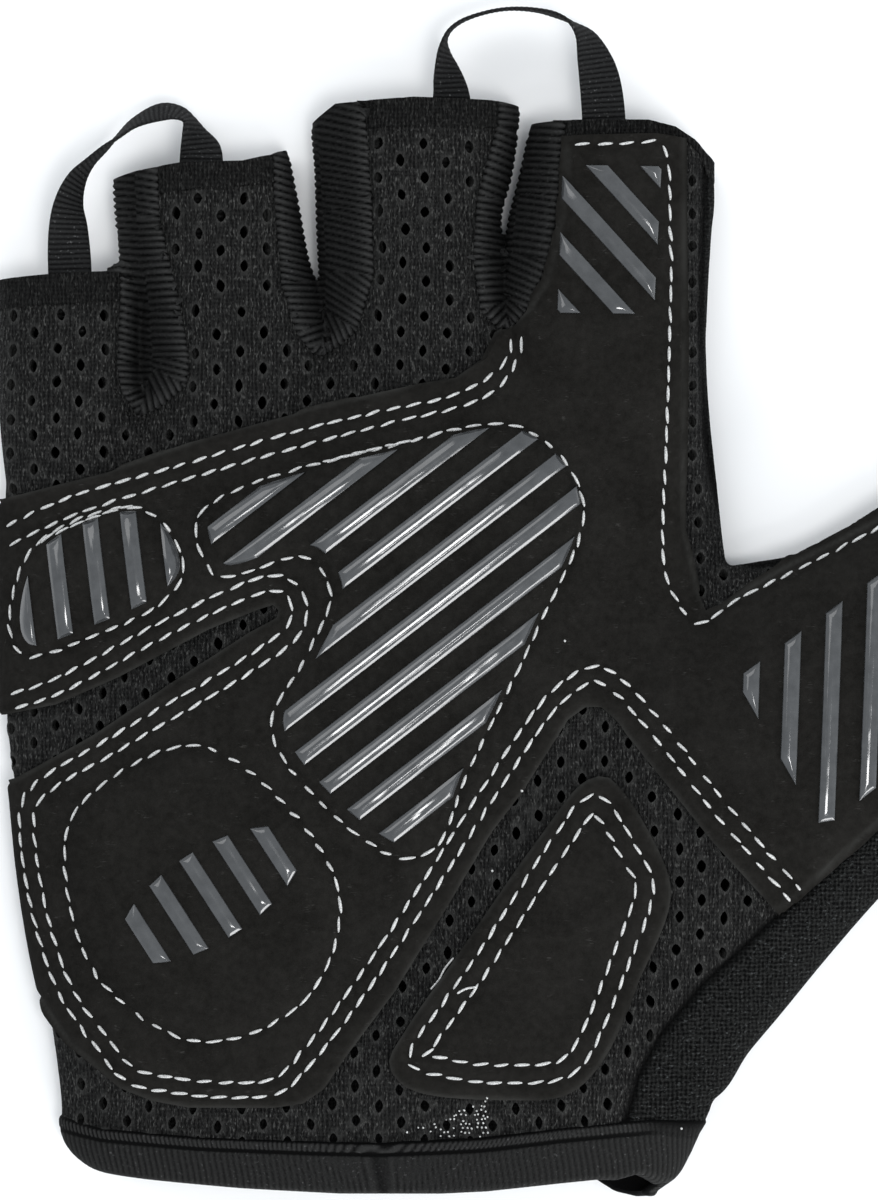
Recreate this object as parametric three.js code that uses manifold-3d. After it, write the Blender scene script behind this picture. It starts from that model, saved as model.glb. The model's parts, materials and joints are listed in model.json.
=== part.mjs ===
// Fingerless sport glove for the right hand, empty and lying flat with its palm up.
// Millimetres: +X towards the thumb, +Y towards the fingers, +Z up from the surface it lies on.
// Every cloth piece is a layer between two nested forms of the same hand, cut out by its own pattern.
import * as THREE from 'three';
import { mergeVertices } from 'three/addons/utils/BufferGeometryUtils.js';
import Module from 'manifold-3d';

const wasm = await Module();
wasm.setup();

// Thicknesses and heights
const seamHeight = 5.5; // the side seam between palm side and back, above the surface
const backDrop = 6.2; // roundness of the back before it is pressed flat on the surface
const gap = 0.3; // clearance between neighbouring pieces
const knitWall = 1.4;
const suedeWall = 1.2;
const padStep = 0.7; // each of the two steps by which a padded zone stands up
const padBorder = 1.2; // width of the lower step along a pad's stitching
const padFoot = seamHeight + 1; // the pads keep clear of the side seam
const suedeEndMove = -1; // the suede ends short of the finger openings
const stripBottom = seamHeight - 2.6; // the finger strips reach below the side seam
const webTop = seamHeight + 3.6; // the web at each fork belongs to the strip up to this height
const webHalf = 3.8;
const gelThickness = 0.8;
const cuffOverlap = 0.9; // how far the cuff binding stands out from the knit
const cuffInside = 2.3; // and how far its rolled edge reaches into the glove

// Heights of the layers, as offsets from the outside of the knit
const suedeBase = gap;
const suedeTop = suedeBase + suedeWall;
const padLow = suedeTop + padStep;
const padTop = padLow + padStep;

// Roundness of the hand's cross-sections
const topPower = 2.5;
const backPower = 3.2;
const palmSegments = { top: 12, back: 6 };
const fingerSegments = { top: 8, back: 6 };
const pastEnd = 4; // how far a hollow or a cutting form runs beyond an opening
const tall = 40; // height of the prisms that cut the patterns out
const patternReach = 120; // half the side of a square that is wider than the glove
const belowCuff = -110; // a line beyond the wrist
const mergeDistance = 1e-4;

// The raised gel stripes
const stripeWidth = 2.3;
const stripeInset = 1.6; // from a pad's stitching to the stripes' ends

// The finger loops' webbing
const tapeWidth = 5.8;
const tapeThickness = 0.9;
const tapeSteps = 26;

const table = (columns, rows) => rows.map(
  (row) => Object.fromEntries(columns.map((name, i) => [name, row[i]])),
);

// Cross-sections of the hand, each from its left to its right side point, looking towards the tip:
// rise is the height of the palm side above the seam, bow how far its middle runs ahead of its sides.
const sectionColumns = ['lx', 'ly', 'rx', 'ry', 'rise', 'bow'];
const pinkySections = table(sectionColumns, [
  [-78.5, 44.4, -58.5, 45.6, 6.6, 0.6],
  [-78.5, 36, -58.6, 37, 7.2, 0],
  [-78.3, 26, -58.4, 29, 8, 0],
  [-77, 14, -57, 18, 7, 0],
  [-75, 2, -57, 6, 4.5, 0],
]);
const ringSections = table(sectionColumns, [
  [-62.3, 59.3, -36.9, 62.4, 7, 0.5],
  [-61.6, 52.5, -35.6, 54.6, 7.2, 0],
  [-60.4, 48.4, -34.9, 50, 7.3, 0],
  [-57.9, 46.2, -34.6, 48, 7.4, 0],
  [-58, 38, -34, 41.5, 8, 0],
  [-57.9, 29, -32.4, 36, 8.6, 0],
  [-57, 18, -32, 24, 8.6, 0],
  [-56, 4, -33, 8, 7.5, 0],
]);
const middleSections = table(sectionColumns, [
  [-34.6, 69, -4.7, 69.4, 7, 0.6],
  [-33.8, 60, -5.8, 60, 7.2, 0],
  [-33.6, 50, -7.2, 50.5, 7.5, 0],
  [-32.9, 43, -7.5, 45, 8, 0],
  [-31.3, 36, -7.2, 39, 8.6, 0],
  [-31, 24, -7, 26, 8.8, 0],
  [-30, 8, -8, 8, 8, 0],
]);
const indexSections = table(sectionColumns, [
  [-3.9, 67, 22.6, 61.4, 7, 2.4],
  [-5.2, 60.5, 22.7, 56, 7.2, 0.8],
  [-6.5, 52, 22.1, 50, 7.5, 0],
  [-6.9, 45, 21.6, 42, 8, 0],
  [-6.6, 39.3, 21.4, 35, 8.6, 0],
  [-6.5, 26, 21.7, 24, 8, 0],
  [-6, 8, 22.6, 8, 5.5, 0],
]);
const thumbSections = table(sectionColumns, [
  [56.7, 19.6, 78.5, -10.4, 7, 1],
  [45, 12.6, 63, -25.4, 7.6, 0.5],
  [36, 7, 47.5, -40.4, 8.3, 0],
  [27, 5.2, 38.5, -49.2, 8.8, 0],
  [20, 4, 31.5, -57.8, 9, 0],
  [11, 0, 26.4, -63.4, 9, 0],
  [3, -8, 20.4, -70, 8.4, 0],
  [-6, -14, 10, -72, 7, 0],
]);
const palmSections = table(sectionColumns, [
  [-77.2, 19, 21, 38, 4.5, 8.5],
  [-77.4, 13, 21.4, 27, 7.6, 6],
  [-77, 5, 22.5, 17, 8.8, 4],
  [-76.9, -8, 24.5, 4, 9, 2],
  [-76.3, -18, 27, -10, 9, 0],
  [-75.2, -27, 29, -24, 9, 0],
  [-73.9, -38, 30, -38, 9, 0],
  [-72.1, -49, 28, -52, 9, 0],
  [-69.9, -60, 24, -63, 8.8, 0],
  [-68.5, -71, 20.4, -72.5, 8.4, 0],
  [-68.3, -74.5, 19.4, -75.5, 8.2, 0],
  [-67, -77.5, 17.8, -78.6, 8, 0],
  [-64.6, -79.8, 15.8, -81.2, 7.8, -0.5],
  [-61.5, -81.2, 13.4, -83.4, 7.4, -1.2],
]);

// Patterns, as outlines seen from above
const point = (x, y) => new THREE.Vector2(x, y);
const outlineOf = (rows) => rows.map(([x, y]) => point(x, y));

// A round outline through hand-set points, with the given number of corners
function smoothOutline(rows, corners) {
  const route = rows.map(([x, y]) => new THREE.Vector3(x, y, 0));
  const curve = new THREE.CatmullRomCurve3(route, true, 'centripetal');
  return curve.getPoints(corners).slice(0, -1).map((p) => point(p.x, p.y));
}

const suedeOutline = outlineOf([
  // from the little finger's side along the knuckles to the index finger's seam
  [-86, 12], [-76.1, 14.5], [-62.7, 17.9], [-50.9, 22], [-33, 27], [-18.8, 30.2], [-14.1, 31],
  [-10.5, 33.6], [-8.7, 37.4], [-7.3, 38.1], [-5.4, 38.9], [-3.2, 41], [-1, 44.5], [0, 48],
  [0.8, 52], [1.4, 57], [2.4, 72],
  // down the index finger and out along the thumb
  [18, 72], [17.9, 10], [18.8, 6.5], [19.9, 1.2], [21.2, -1.8], [23, -1.2], [27, 1.6], [32, 4.4],
  [38, 7.4], [45, 11], [56, 17.6], [66, 24],
  // back along the thumb's gusset and round the notch over the thumb's root
  [82, 0], [73.4, -3.6], [45, -31], [34.6, -40.2], [30.7, -43.4], [21.8, -33.6], [13.7, -23.4],
  [8.6, -17], [6.4, -15], [4.2, -14.9], [1.7, -16.7], [-4.6, -26.7], [-9, -32.5], [-15.3, -43.1],
  [-22.5, -54.7], [-29.3, -63.8], [-32.3, -68.2], [-35.2, -70.2], [-39.2, -70.8], [-51.1, -70.8],
  [-56.3, -69.9], [-60.6, -68.2], [-67.9, -62.2], [-72, -56.5], [-84, -50],
  // round the slot where the knit shows at the heel of the hand
  [-84, -28], [-75, -24.9], [-64.3, -18.8], [-53.6, -11.6], [-42.8, -4.6], [-38.9, -2.5],
  [-38.6, -1.4], [-39.4, -0.7], [-41.6, -1.4], [-48.3, -4.1], [-61, -10.8], [-69.7, -14.6],
  [-86, -18],
]);
const thenarOutline = smoothOutline([
  [7.4, -24.8], [4.1, -25.3], [-2.2, -33], [-13.9, -49.8], [-21, -60.1], [-23.2, -64.6],
  [-20.6, -68], [-6.6, -69.7], [1.6, -69], [6.2, -64.8], [11.3, -54.2], [16.1, -41.7],
  [15, -36.2],
], 44);
const pinkyPadOutline = smoothOutline([
  [-73, 7.4], [-59.2, 12.9], [-54.4, 10.4], [-51.9, 4], [-54.6, -0.1], [-65.1, -5.2],
  [-74.4, -7.8], [-76.5, -4],
], 32);
const centrePadOutline = smoothOutline([
  [-50, 11.1], [-45.1, 15], [-22.1, 21.6], [-6.2, 24.4], [1.2, 19.4], [3.9, 12], [-2.7, -4.3],
  [-12.7, -24.9], [-16.4, -34], [-21, -36], [-32.3, -28.6], [-39.6, -17.6], [-35, -8.4],
  [-31.3, 0.8], [-34.6, 6], [-47.2, 3.5],
], 64);
const heelPadOutline = smoothOutline([
  [-66.5, -28.8], [-50.3, -20.3], [-35.7, -30.9], [-30, -42.4], [-35.3, -56.1], [-50, -61.5],
  [-64.4, -51.9], [-68.6, -35.5],
], 40);

// The three ribbed strips that run down one finger, round the fork and up the next
const pinkyRingStrip = outlineOf([
  [-61.2, 46], [-61, 41.5], [-61.4, 33.1], [-60.8, 29.2], [-58.5, 25.6], [-55, 27.2],
  [-51.5, 30], [-51.2, 34], [-52.5, 41.5], [-54.4, 49.2], [-55.4, 53.8], [-55.6, 70],
  [-72, 70], [-66, 46],
]);
const ringMiddleStrip = outlineOf([
  [-40.2, 75], [-39.4, 56.9], [-38.3, 44.2], [-36.2, 37.3], [-34.2, 34.8], [-32.7, 34.2],
  [-30, 35.8], [-27.7, 37.7], [-25.4, 45.4], [-25.6, 55], [-27.3, 80],
]);
const middleIndexStrip = outlineOf([
  [-7.4, 80], [-8.1, 66.5], [-10.8, 56.9], [-11.5, 48.1], [-10.4, 40.4], [-7.3, 37.5],
  [-5.4, 38.3], [-3.5, 40.4], [-0.6, 47.3], [0.8, 56.5], [2.2, 75],
]);

// Where the knit of the back is brought round the thumb's edge, down to the cuff
const gussetOutline = outlineOf([
  [9.7, -95], [9.7, -74], [11.6, -66.8], [14.6, -61], [20.7, -53.6], [30.9, -44.2],
  [45.2, -31.5], [73.8, -3.9], [86, 8], [96, -20], [40, -95],
]);

// Everything beyond this line is cuff binding
const cuffLine = [
  [-90, -71.5], [-69.3, -72.5], [-63.7, -73.9], [-49.7, -74.9], [-24.5, -75.6], [-10.5, -74.9],
  [0.7, -73.5], [11.9, -72.5], [34, -74.2],
];

// The gel stripes of each zone lie parallel: the angle is the way they run, first the place of the
// first one and pitch the step to the next, both measured across them from the origin.
const indexStripeZone = outlineOf([[0.2, 40], [1, 60.8], [14.9, 60.6], [13.8, 39.8]]);
const thumbStripeZone = outlineOf([
  [25, -11], [46, 4.2], [54, 11], [58, 7.5], [65, -9], [60, -13.4], [45, -26], [37.6, -31.6],
]);
const heelMark = { x: -48, y: -41, angle: 33, halfLength: 14.6, halfHeight: 6.4, corners: 28 };
const gelZones = [
  { name: 'palm', angle: 37.6, first: 36.5, pitch: -5.37, count: 10, level: padTop,
    outline: insetOutline(centrePadOutline, stripeInset) },
  { name: 'pinky', angle: 97, first: 73.9, pitch: -5.41, count: 5, level: padTop,
    outline: insetOutline(pinkyPadOutline, stripeInset) },
  { name: 'index', angle: -47.8, first: 50.6, pitch: -5.57, count: 5, level: suedeTop,
    outline: indexStripeZone },
  { name: 'thumb', angle: 87.7, first: -27.7, pitch: -5.62, count: 7, level: suedeTop,
    outline: thumbStripeZone },
  { name: 'heel', angle: 123, first: 73.4, pitch: -5.4, count: 5, level: padTop,
    outline: ellipseOutline(heelMark) },
];

// The webbing loops: the tape's middle line, and its turn from lying flat to standing on edge
const loopColumns = ['x', 'y', 'z', 'turn'];
const pinkyRingLoop = table(loopColumns, [
  [-68.2, 36, 9.5, 0],
  [-68.2, 41, 9.6, 0],
  [-68.3, 47, 9.6, 0],
  [-68.2, 53, 9.6, 14],
  [-67, 58.8, 9.4, 42],
  [-63.4, 63.8, 9.2, 68],
  [-58.6, 67.4, 9.1, 74],
  [-54.3, 68.7, 9.2, 74],
  [-51, 67.4, 9.5, 62],
  [-49.8, 64.6, 9.9, 22],
  [-49.6, 60, 10.1, 0],
  [-49.6, 54, 10.1, 0],
  [-49.6, 50, 10.1, 0],
]);
const middleIndexLoop = table(loopColumns, [
  [-14.4, 60, 9.8, 0],
  [-14.4, 66, 9.8, 0],
  [-14.5, 71, 9.7, 8],
  [-15.1, 75, 9.4, 40],
  [-14.8, 79, 9.2, 70],
  [-12, 82, 9.1, 84],
  [-7.5, 83, 9.1, 86],
  [-1.8, 82.6, 9.1, 84],
  [2.6, 80.2, 9.3, 68],
  [5.4, 76.6, 9.6, 40],
  [6.6, 72.4, 9.9, 12],
  [6.9, 67, 10, 0],
  [7, 61, 10, 0],
  [7, 56, 10, 0],
]);

// Finishes
const finish = (color, roughness) => new THREE.MeshStandardMaterial({ color, roughness, metalness: 0 });
const meshKnit = finish(0x45454a, 0.95);
const stretchKnit = finish(0x4a4b4a, 0.95);
const ribKnit = finish(0x403f3f, 0.9);
const microSuede = finish(0x322f2d, 0.85);
const webbing = finish(0x3d3d3e, 0.85);
const gel = finish(0x696c70, 0.25);

function ellipseOutline({ x, y, angle, halfLength, halfHeight, corners }) {
  const turn = THREE.MathUtils.degToRad(angle);
  const curve = new THREE.EllipseCurve(x, y, halfLength, halfHeight, 0, 2 * Math.PI, false, turn);
  return curve.getPoints(corners).slice(0, -1);
}

// An outline moved inwards by the given distance, or outwards where that is negative
function insetOutline(outline, distance) {
  const side = THREE.ShapeUtils.area(outline) > 0 ? 1 : -1;
  return outline.map((here, i) => {
    const before = outline[(i + outline.length - 1) % outline.length];
    const after = outline[(i + 1) % outline.length];
    const along = after.clone().sub(before).normalize();
    return point(here.x - side * distance * along.y, here.y + side * distance * along.x);
  });
}

// A closed geometry as a solid that can be joined and cut
function solidOf(geometry) {
  geometry.deleteAttribute('normal');
  geometry.deleteAttribute('uv');
  const merged = mergeVertices(geometry, mergeDistance);
  return new wasm.Manifold(new wasm.Mesh({
    numProp: 3,
    vertProperties: merged.attributes.position.array,
    triVerts: Uint32Array.from(merged.index.array),
  }));
}

function prism(outline, low = -tall, high = tall) {
  const shape = new THREE.Shape(outline);
  const geometry = new THREE.ExtrudeGeometry(shape, { depth: high - low, bevelEnabled: false });
  return solidOf(geometry.translate(0, 0, low));
}

// One rounded cross-section, from its right side over the palm side to the left and under the back
function sectionRing(row, offset, segments) {
  const left = point(row.lx, row.ly);
  const right = point(row.rx, row.ry);
  const across = right.clone().sub(left).normalize();
  const ahead = point(-across.y, across.x);
  const middle = left.clone().add(right).multiplyScalar(0.5);
  const half = left.distanceTo(right) / 2 + offset;
  const floor = Math.max(0, -offset);
  const place = (angle, power, height) => {
    const u = Math.sign(Math.cos(angle)) * Math.abs(Math.cos(angle)) ** (2 / power);
    const v = Math.abs(Math.sin(angle)) ** (2 / power);
    const bow = row.bow * (1 - u * u);
    return new THREE.Vector3(
      middle.x + across.x * half * u + ahead.x * bow,
      middle.y + across.y * half * u + ahead.y * bow,
      Math.max(floor, seamHeight + height * v),
    );
  };
  const ring = [];
  for (let i = 0; i <= segments.top; i += 1) {
    ring.push(place((Math.PI * i) / segments.top, topPower, row.rise + offset));
  }
  for (let i = 1; i < segments.back; i += 1) {
    ring.push(place(Math.PI * (1 + i / segments.back), backPower, -(backDrop + offset)));
  }
  return ring;
}

// Moves an end section along its tube, forwards from the section behind it
function movedEnd(end, behind, distance) {
  const from = point((behind.lx + behind.rx) / 2, (behind.ly + behind.ry) / 2);
  const step = point((end.lx + end.rx) / 2, (end.ly + end.ry) / 2).sub(from).setLength(distance);
  if (distance < 0) step.setLength(-distance).negate();
  return { ...end, lx: end.lx + step.x, ly: end.ly + step.y, rx: end.rx + step.x, ry: end.ry + step.y };
}

// A closed tube through a table of sections, its ends closed by fans
function tube(rows, offset, segments) {
  const rings = rows.map((row) => sectionRing(row, offset, segments));
  const count = rings[0].length;
  const points = rings.flat();
  const triangles = [];
  rings.slice(1).forEach((_, k) => {
    for (let j = 0; j < count; j += 1) {
      const next = (j + 1) % count;
      const [a, b] = [k * count + j, k * count + next];
      triangles.push(a, b, b + count, a, b + count, a + count);
    }
  });
  const fan = (ring, first, flip) => {
    const centre = ring.reduce((sum, p) => sum.add(p), new THREE.Vector3()).divideScalar(count);
    points.push(centre);
    for (let j = 0; j < count; j += 1) {
      const pair = [first + j, first + ((j + 1) % count)];
      triangles.push(points.length - 1, ...(flip ? pair.reverse() : pair));
    }
  };
  fan(rings[0], 0, true);
  fan(rings[rings.length - 1], (rings.length - 1) * count, false);
  const geometry = new THREE.BufferGeometry().setFromPoints(points);
  geometry.setIndex(triangles);
  return solidOf(geometry);
}

// The whole hand at an offset from the outside of its knit, its open ends moved by endMove
function handForm(offset, endMove) {
  const open = (rows) => [movedEnd(rows[0], rows[1], endMove), ...rows.slice(1)];
  const fingers = [pinkySections, ringSections, middleSections, indexSections, thumbSections]
    .map((rows) => tube(open(rows), offset, fingerSegments));
  const last = palmSections.length - 1;
  const palmRows = [
    movedEnd(palmSections[0], palmSections[1], offset),
    ...palmSections.slice(1, last),
    movedEnd(palmSections[last], palmSections[last - 1], endMove),
  ];
  return fingers.reduce((form, finger) => form.add(finger), tube(palmRows, offset, palmSegments));
}

// What lies between two nested forms of the hand
const layer = (inside, outside, endMove = 0) => handForm(outside, endMove)
  .subtract(handForm(inside, pastEnd));

// A tape of constant width along a table of places and turns
function tape(rows) {
  const route = new THREE.CatmullRomCurve3(
    rows.map((row) => new THREE.Vector3(row.x, row.y, row.z)),
    false,
    'centripetal',
  );
  const turns = new THREE.CatmullRomCurve3(
    rows.map((row) => new THREE.Vector3(row.turn, 0, 0)),
    false,
    'catmullrom',
  );
  const points = [];
  for (let i = 0; i <= tapeSteps; i += 1) {
    const at = i / tapeSteps;
    const place = route.getPoint(at);
    const along = route.getTangent(at);
    const flat = new THREE.Vector3(along.y, -along.x, 0).normalize();
    const turn = THREE.MathUtils.degToRad(turns.getPoint(at).x);
    const wide = flat.applyAxisAngle(along, turn).setLength(tapeWidth / 2);
    const thick = wide.clone().cross(along).setLength(tapeThickness / 2);
    points.push(
      place.clone().add(wide).add(thick),
      place.clone().sub(wide).add(thick),
      place.clone().sub(wide).sub(thick),
      place.clone().add(wide).sub(thick),
    );
  }
  const triangles = [];
  for (let i = 0; i < tapeSteps; i += 1) {
    for (let j = 0; j < 4; j += 1) {
      const [a, b] = [i * 4 + j, i * 4 + ((j + 1) % 4)];
      triangles.push(a, b + 4, b, a, a + 4, b + 4);
    }
  }
  const end = tapeSteps * 4;
  triangles.push(0, 1, 2, 0, 2, 3, end, end + 2, end + 1, end, end + 3, end + 2);
  const geometry = new THREE.BufferGeometry().setFromPoints(points);
  geometry.setIndex(triangles);
  return solidOf(geometry);
}

const glove = new THREE.Group();

function addPiece(name, solid, material) {
  const { vertProperties, triVerts } = solid.getMesh();
  const geometry = new THREE.BufferGeometry();
  geometry.setAttribute('position', new THREE.BufferAttribute(vertProperties, 3));
  geometry.setIndex(new THREE.BufferAttribute(triVerts, 1));
  geometry.computeVertexNormals();
  const mesh = new THREE.Mesh(geometry, material);
  mesh.name = name;
  glove.add(mesh);
}

// Parts of space that the patterns are cut with
const square = outlineOf([[-1, -1], [1, -1], [1, 1], [-1, 1]]);
const squareOf = (half) => square.map((corner) => corner.clone().multiplyScalar(half));
const everywhere = squareOf(patternReach);
const palmSide = (low) => prism(everywhere, low, tall);
const cuffRegion = (lift) => prism([
  ...cuffLine.map(([x, y]) => point(x, y + lift)),
  point(cuffLine.at(-1)[0], belowCuff),
  point(cuffLine[0][0], belowCuff),
]);
const strips = [
  { name: 'fourchette_pinky_ring', outline: pinkyRingStrip, x: -58, y: 26.2 },
  { name: 'fourchette_ring_middle', outline: ringMiddleStrip, x: -32, y: 34 },
  { name: 'fourchette_middle_index', outline: middleIndexStrip, x: -7, y: 37.2 },
];

function stripSpace({ outline, x, y }, clearance) {
  const web = squareOf(webHalf + clearance).map((corner) => corner.add(point(x, y)));
  return prism(insetOutline(outline, -clearance), stripBottom - clearance, tall)
    .add(prism(web, stripBottom - clearance, webTop + clearance));
}

const knit = layer(-knitWall, 0);
const knitAboveCuff = knit.subtract(cuffRegion(gap));

// Ribbed strips between the fingers
strips.forEach((strip) => {
  addPiece(strip.name, knit.intersect(stripSpace(strip, 0)), ribKnit);
});
const clearOfStrips = (solid) => strips.reduce(
  (rest, strip) => rest.subtract(stripSpace(strip, gap)),
  solid,
);
const handKnit = clearOfStrips(knitAboveCuff);

// Perforated knit of the palm side, and the stretch knit of the back with its thumb gusset
const gusset = prism(gussetOutline);
const wideGusset = prism(insetOutline(gussetOutline, -gap));
addPiece('palm_mesh', handKnit.intersect(palmSide(seamHeight + gap)).subtract(wideGusset), meshKnit);
const back = handKnit.subtract(palmSide(seamHeight));
addPiece('stretch_back', back.add(handKnit.intersect(gusset)), stretchKnit);

// Suede palm with its three padded zones, and the patch over the thumb's root
const onPalm = palmSide(seamHeight + 2 * gap);
const suede = layer(suedeBase, suedeTop, suedeEndMove).intersect(prism(suedeOutline)).intersect(onPalm);
const pads = [pinkyPadOutline, centrePadOutline, heelPadOutline];
const lowPads = layer(suedeBase + gap, padLow);
const highPads = layer(suedeBase + gap, padTop);
const paddedSuede = pads.reduce((solid, outline) => {
  const low = lowPads.intersect(prism(outline, padFoot));
  const high = highPads.intersect(prism(insetOutline(outline, padBorder), padFoot));
  return solid.add(low).add(high);
}, suede);
addPiece('palm_suede', clearOfStrips(paddedSuede), microSuede);
addPiece('thenar_patch', layer(suedeBase, suedeTop).intersect(prism(thenarOutline, seamHeight)), microSuede);

// Raised gel stripes, cut to the outline of their zone
gelZones.forEach(({ name, angle, first, pitch, count, level, outline }) => {
  const turn = THREE.MathUtils.degToRad(angle);
  const along = point(Math.cos(turn), Math.sin(turn));
  const across = point(-along.y, along.x);
  const skin = layer(level + gap, level + gap + gelThickness).intersect(prism(outline, seamHeight));
  for (let i = 0; i < count; i += 1) {
    const corner = (side, end) => across.clone().multiplyScalar(first + pitch * i + side * stripeWidth / 2)
      .addScaledVector(along, end * patternReach);
    const bar = prism([corner(-1, -1), corner(-1, 1), corner(1, 1), corner(1, -1)]);
    addPiece(`gel_stripe_${name}_${i + 1}`, skin.intersect(bar), gel);
  }
});

// Ribbed cuff binding, rolled round the wrist's edge
addPiece('cuff_binding', layer(-cuffInside, cuffOverlap).intersect(cuffRegion(0)), ribKnit);

// Webbing loops for pulling the glove off
addPiece('pull_loop_pinky_ring', tape(pinkyRingLoop), webbing);
addPiece('pull_loop_middle_index', tape(middleIndexLoop), webbing);

export default glove;
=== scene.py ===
# Fingerless sport glove lying palm up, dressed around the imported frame.
import json
import math

import bpy
import numpy as np
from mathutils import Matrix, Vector
from mathutils.bvhtree import BVHTree
from mathutils.kdtree import KDTree

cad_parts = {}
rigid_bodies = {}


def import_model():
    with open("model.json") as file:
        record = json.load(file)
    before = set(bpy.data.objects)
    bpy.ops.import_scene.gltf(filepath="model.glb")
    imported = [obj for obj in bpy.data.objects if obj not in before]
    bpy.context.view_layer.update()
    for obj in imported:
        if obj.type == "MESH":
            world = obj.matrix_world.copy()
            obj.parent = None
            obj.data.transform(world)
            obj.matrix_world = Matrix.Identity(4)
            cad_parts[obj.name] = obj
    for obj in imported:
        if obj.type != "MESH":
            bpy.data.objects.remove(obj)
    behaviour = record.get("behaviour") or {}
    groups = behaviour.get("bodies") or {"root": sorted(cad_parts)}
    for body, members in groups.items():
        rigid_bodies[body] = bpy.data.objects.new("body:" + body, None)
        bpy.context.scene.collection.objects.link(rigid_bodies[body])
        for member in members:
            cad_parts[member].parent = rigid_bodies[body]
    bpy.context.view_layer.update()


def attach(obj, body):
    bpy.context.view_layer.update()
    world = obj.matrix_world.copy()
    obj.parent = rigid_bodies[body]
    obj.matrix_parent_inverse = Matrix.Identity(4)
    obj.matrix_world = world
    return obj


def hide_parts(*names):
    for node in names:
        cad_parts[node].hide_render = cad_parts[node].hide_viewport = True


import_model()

scene = bpy.context.scene
mm = 0.001  # tables below are in millimetres, Blender works in metres
dice = np.random.default_rng(7)

# Sizes that every cloth piece shares
cloth = {
    "seam": 5.5,  # height of the side seam
    "backDrop": 6.2,
    "topPower": 2.5,
    "backPower": 3.2,
    "pastEnd": 3.5,  # how far the bare form runs past each finger opening
    "pinkyPast": (-78.9, 48, -58.4, 46.9, 6.5, 0.4),
    "voxel": 0.5,
    "smoothing": 7,
    "sectionStep": 1.2,
    "ringPoints": 84,
    "knitWall": 1.4,
    "suedeBase": 0.3,
    "suedeWall": 1.2,
    "deep": -20,  # where the cutters start and end
    "tall": 40,
    "overhead": 60,  # plumb lines start here
    "sliver": 0.05,
    "backShare": 0.45,  # share of the faces that is kept before a panel gets its wall
    "palmShare": 0.62,
    "crumb": 60,  # loose scraps of a cut panel with fewer points than this are dropped
}

# Cross-sections of the hand: left side point, right side point, rise over the seam, bow of the middle
handSections = {
    "pinky": [
        (-78.5, 44.4, -58.5, 45.6, 6.6, 0.6), (-78.5, 36, -58.6, 37, 7.2, 0),
        (-78.3, 26, -58.4, 29, 8, 0), (-77, 14, -57, 18, 7, 0), (-75, 2, -57, 6, 4.5, 0),
    ],
    "ring": [
        (-62.3, 59.3, -37.5, 62.4, 7, 0.5), (-61.7, 52.5, -36, 54.6, 7.2, 0),
        (-61.3, 48.2, -35.2, 50, 7.3, 0), (-60.2, 45.6, -34.5, 47, 7.4, 0),
        (-58, 42, -33.4, 44, 7.6, 0), (-58, 37, -32.4, 40.5, 8, 0), (-57.9, 29, -31.8, 36, 8.6, 0),
        (-57, 18, -32, 24, 8.6, 0), (-56, 4, -33, 8, 7.5, 0),
    ],
    "middle": [
        (-34.3, 69, -4.9, 69.4, 7, 0.6), (-33.6, 60, -6.1, 60, 7.2, 0), (-33.4, 53, -7.6, 54, 7.4, 0),
        (-33.1, 47, -7.1, 48, 7.6, 0), (-32.8, 42.5, -6.9, 44, 8, 0), (-32.2, 36, -6.8, 39, 8.6, 0),
        (-31, 24, -7, 26, 8.8, 0), (-30, 8, -8, 8, 8, 0),
    ],
    "index": [
        (-3.3, 67, 22.6, 61.4, 7, 2.4), (-4.6, 60.5, 22.7, 56, 7.2, 0.8), (-6.2, 54, 22.3, 52, 7.4, 0),
        (-7, 48, 21.9, 46, 7.6, 0), (-7.2, 43, 21.6, 40, 8, 0), (-6.8, 39.3, 21.4, 35, 8.6, 0),
        (-6.5, 26, 21.7, 24, 8, 0), (-6, 8, 22.6, 8, 5.5, 0),
    ],
    "thumb": [
        (56.7, 19.6, 78.5, -10.4, 7, 1), (45, 12.6, 63, -25.4, 7.6, 0.5), (36, 7, 47.5, -40.4, 8.3, 0),
        (27, 5.2, 39, -50, 8.8, 0), (20, 4, 32.1, -58.4, 9, 0), (11, 0, 27.5, -63.9, 9, 0),
        (3, -8, 22.4, -70.6, 8.4, 0), (-6, -14, 10, -72, 7, 0),
    ],
    "palm": [
        (-77.4, 19, 21.5, 38, 4.5, 8.5), (-77.6, 13, 22, 27, 7.6, 6), (-77.6, 5, 23, 17, 8.8, 4),
        (-77.6, -8, 24.5, 4, 9, 2), (-77.2, -18, 27, -10, 9, 0), (-76.1, -27, 29, -24, 9, 0),
        (-75, -38, 30, -38, 9, 0), (-73.3, -49, 28, -52, 9, 0), (-71, -60, 24, -63, 8.8, 0),
        (-69.6, -71, 22, -72.3, 8.4, 0), (-69.5, -74.5, 20.3, -75.3, 8.2, 0),
        (-68.2, -77.5, 18.8, -78.5, 8, 0), (-65.6, -79.8, 17.2, -81.2, 7.8, -0.5),
        (-62.3, -81.2, 14.4, -83.6, 7.4, -1.2),
    ],
}

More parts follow.
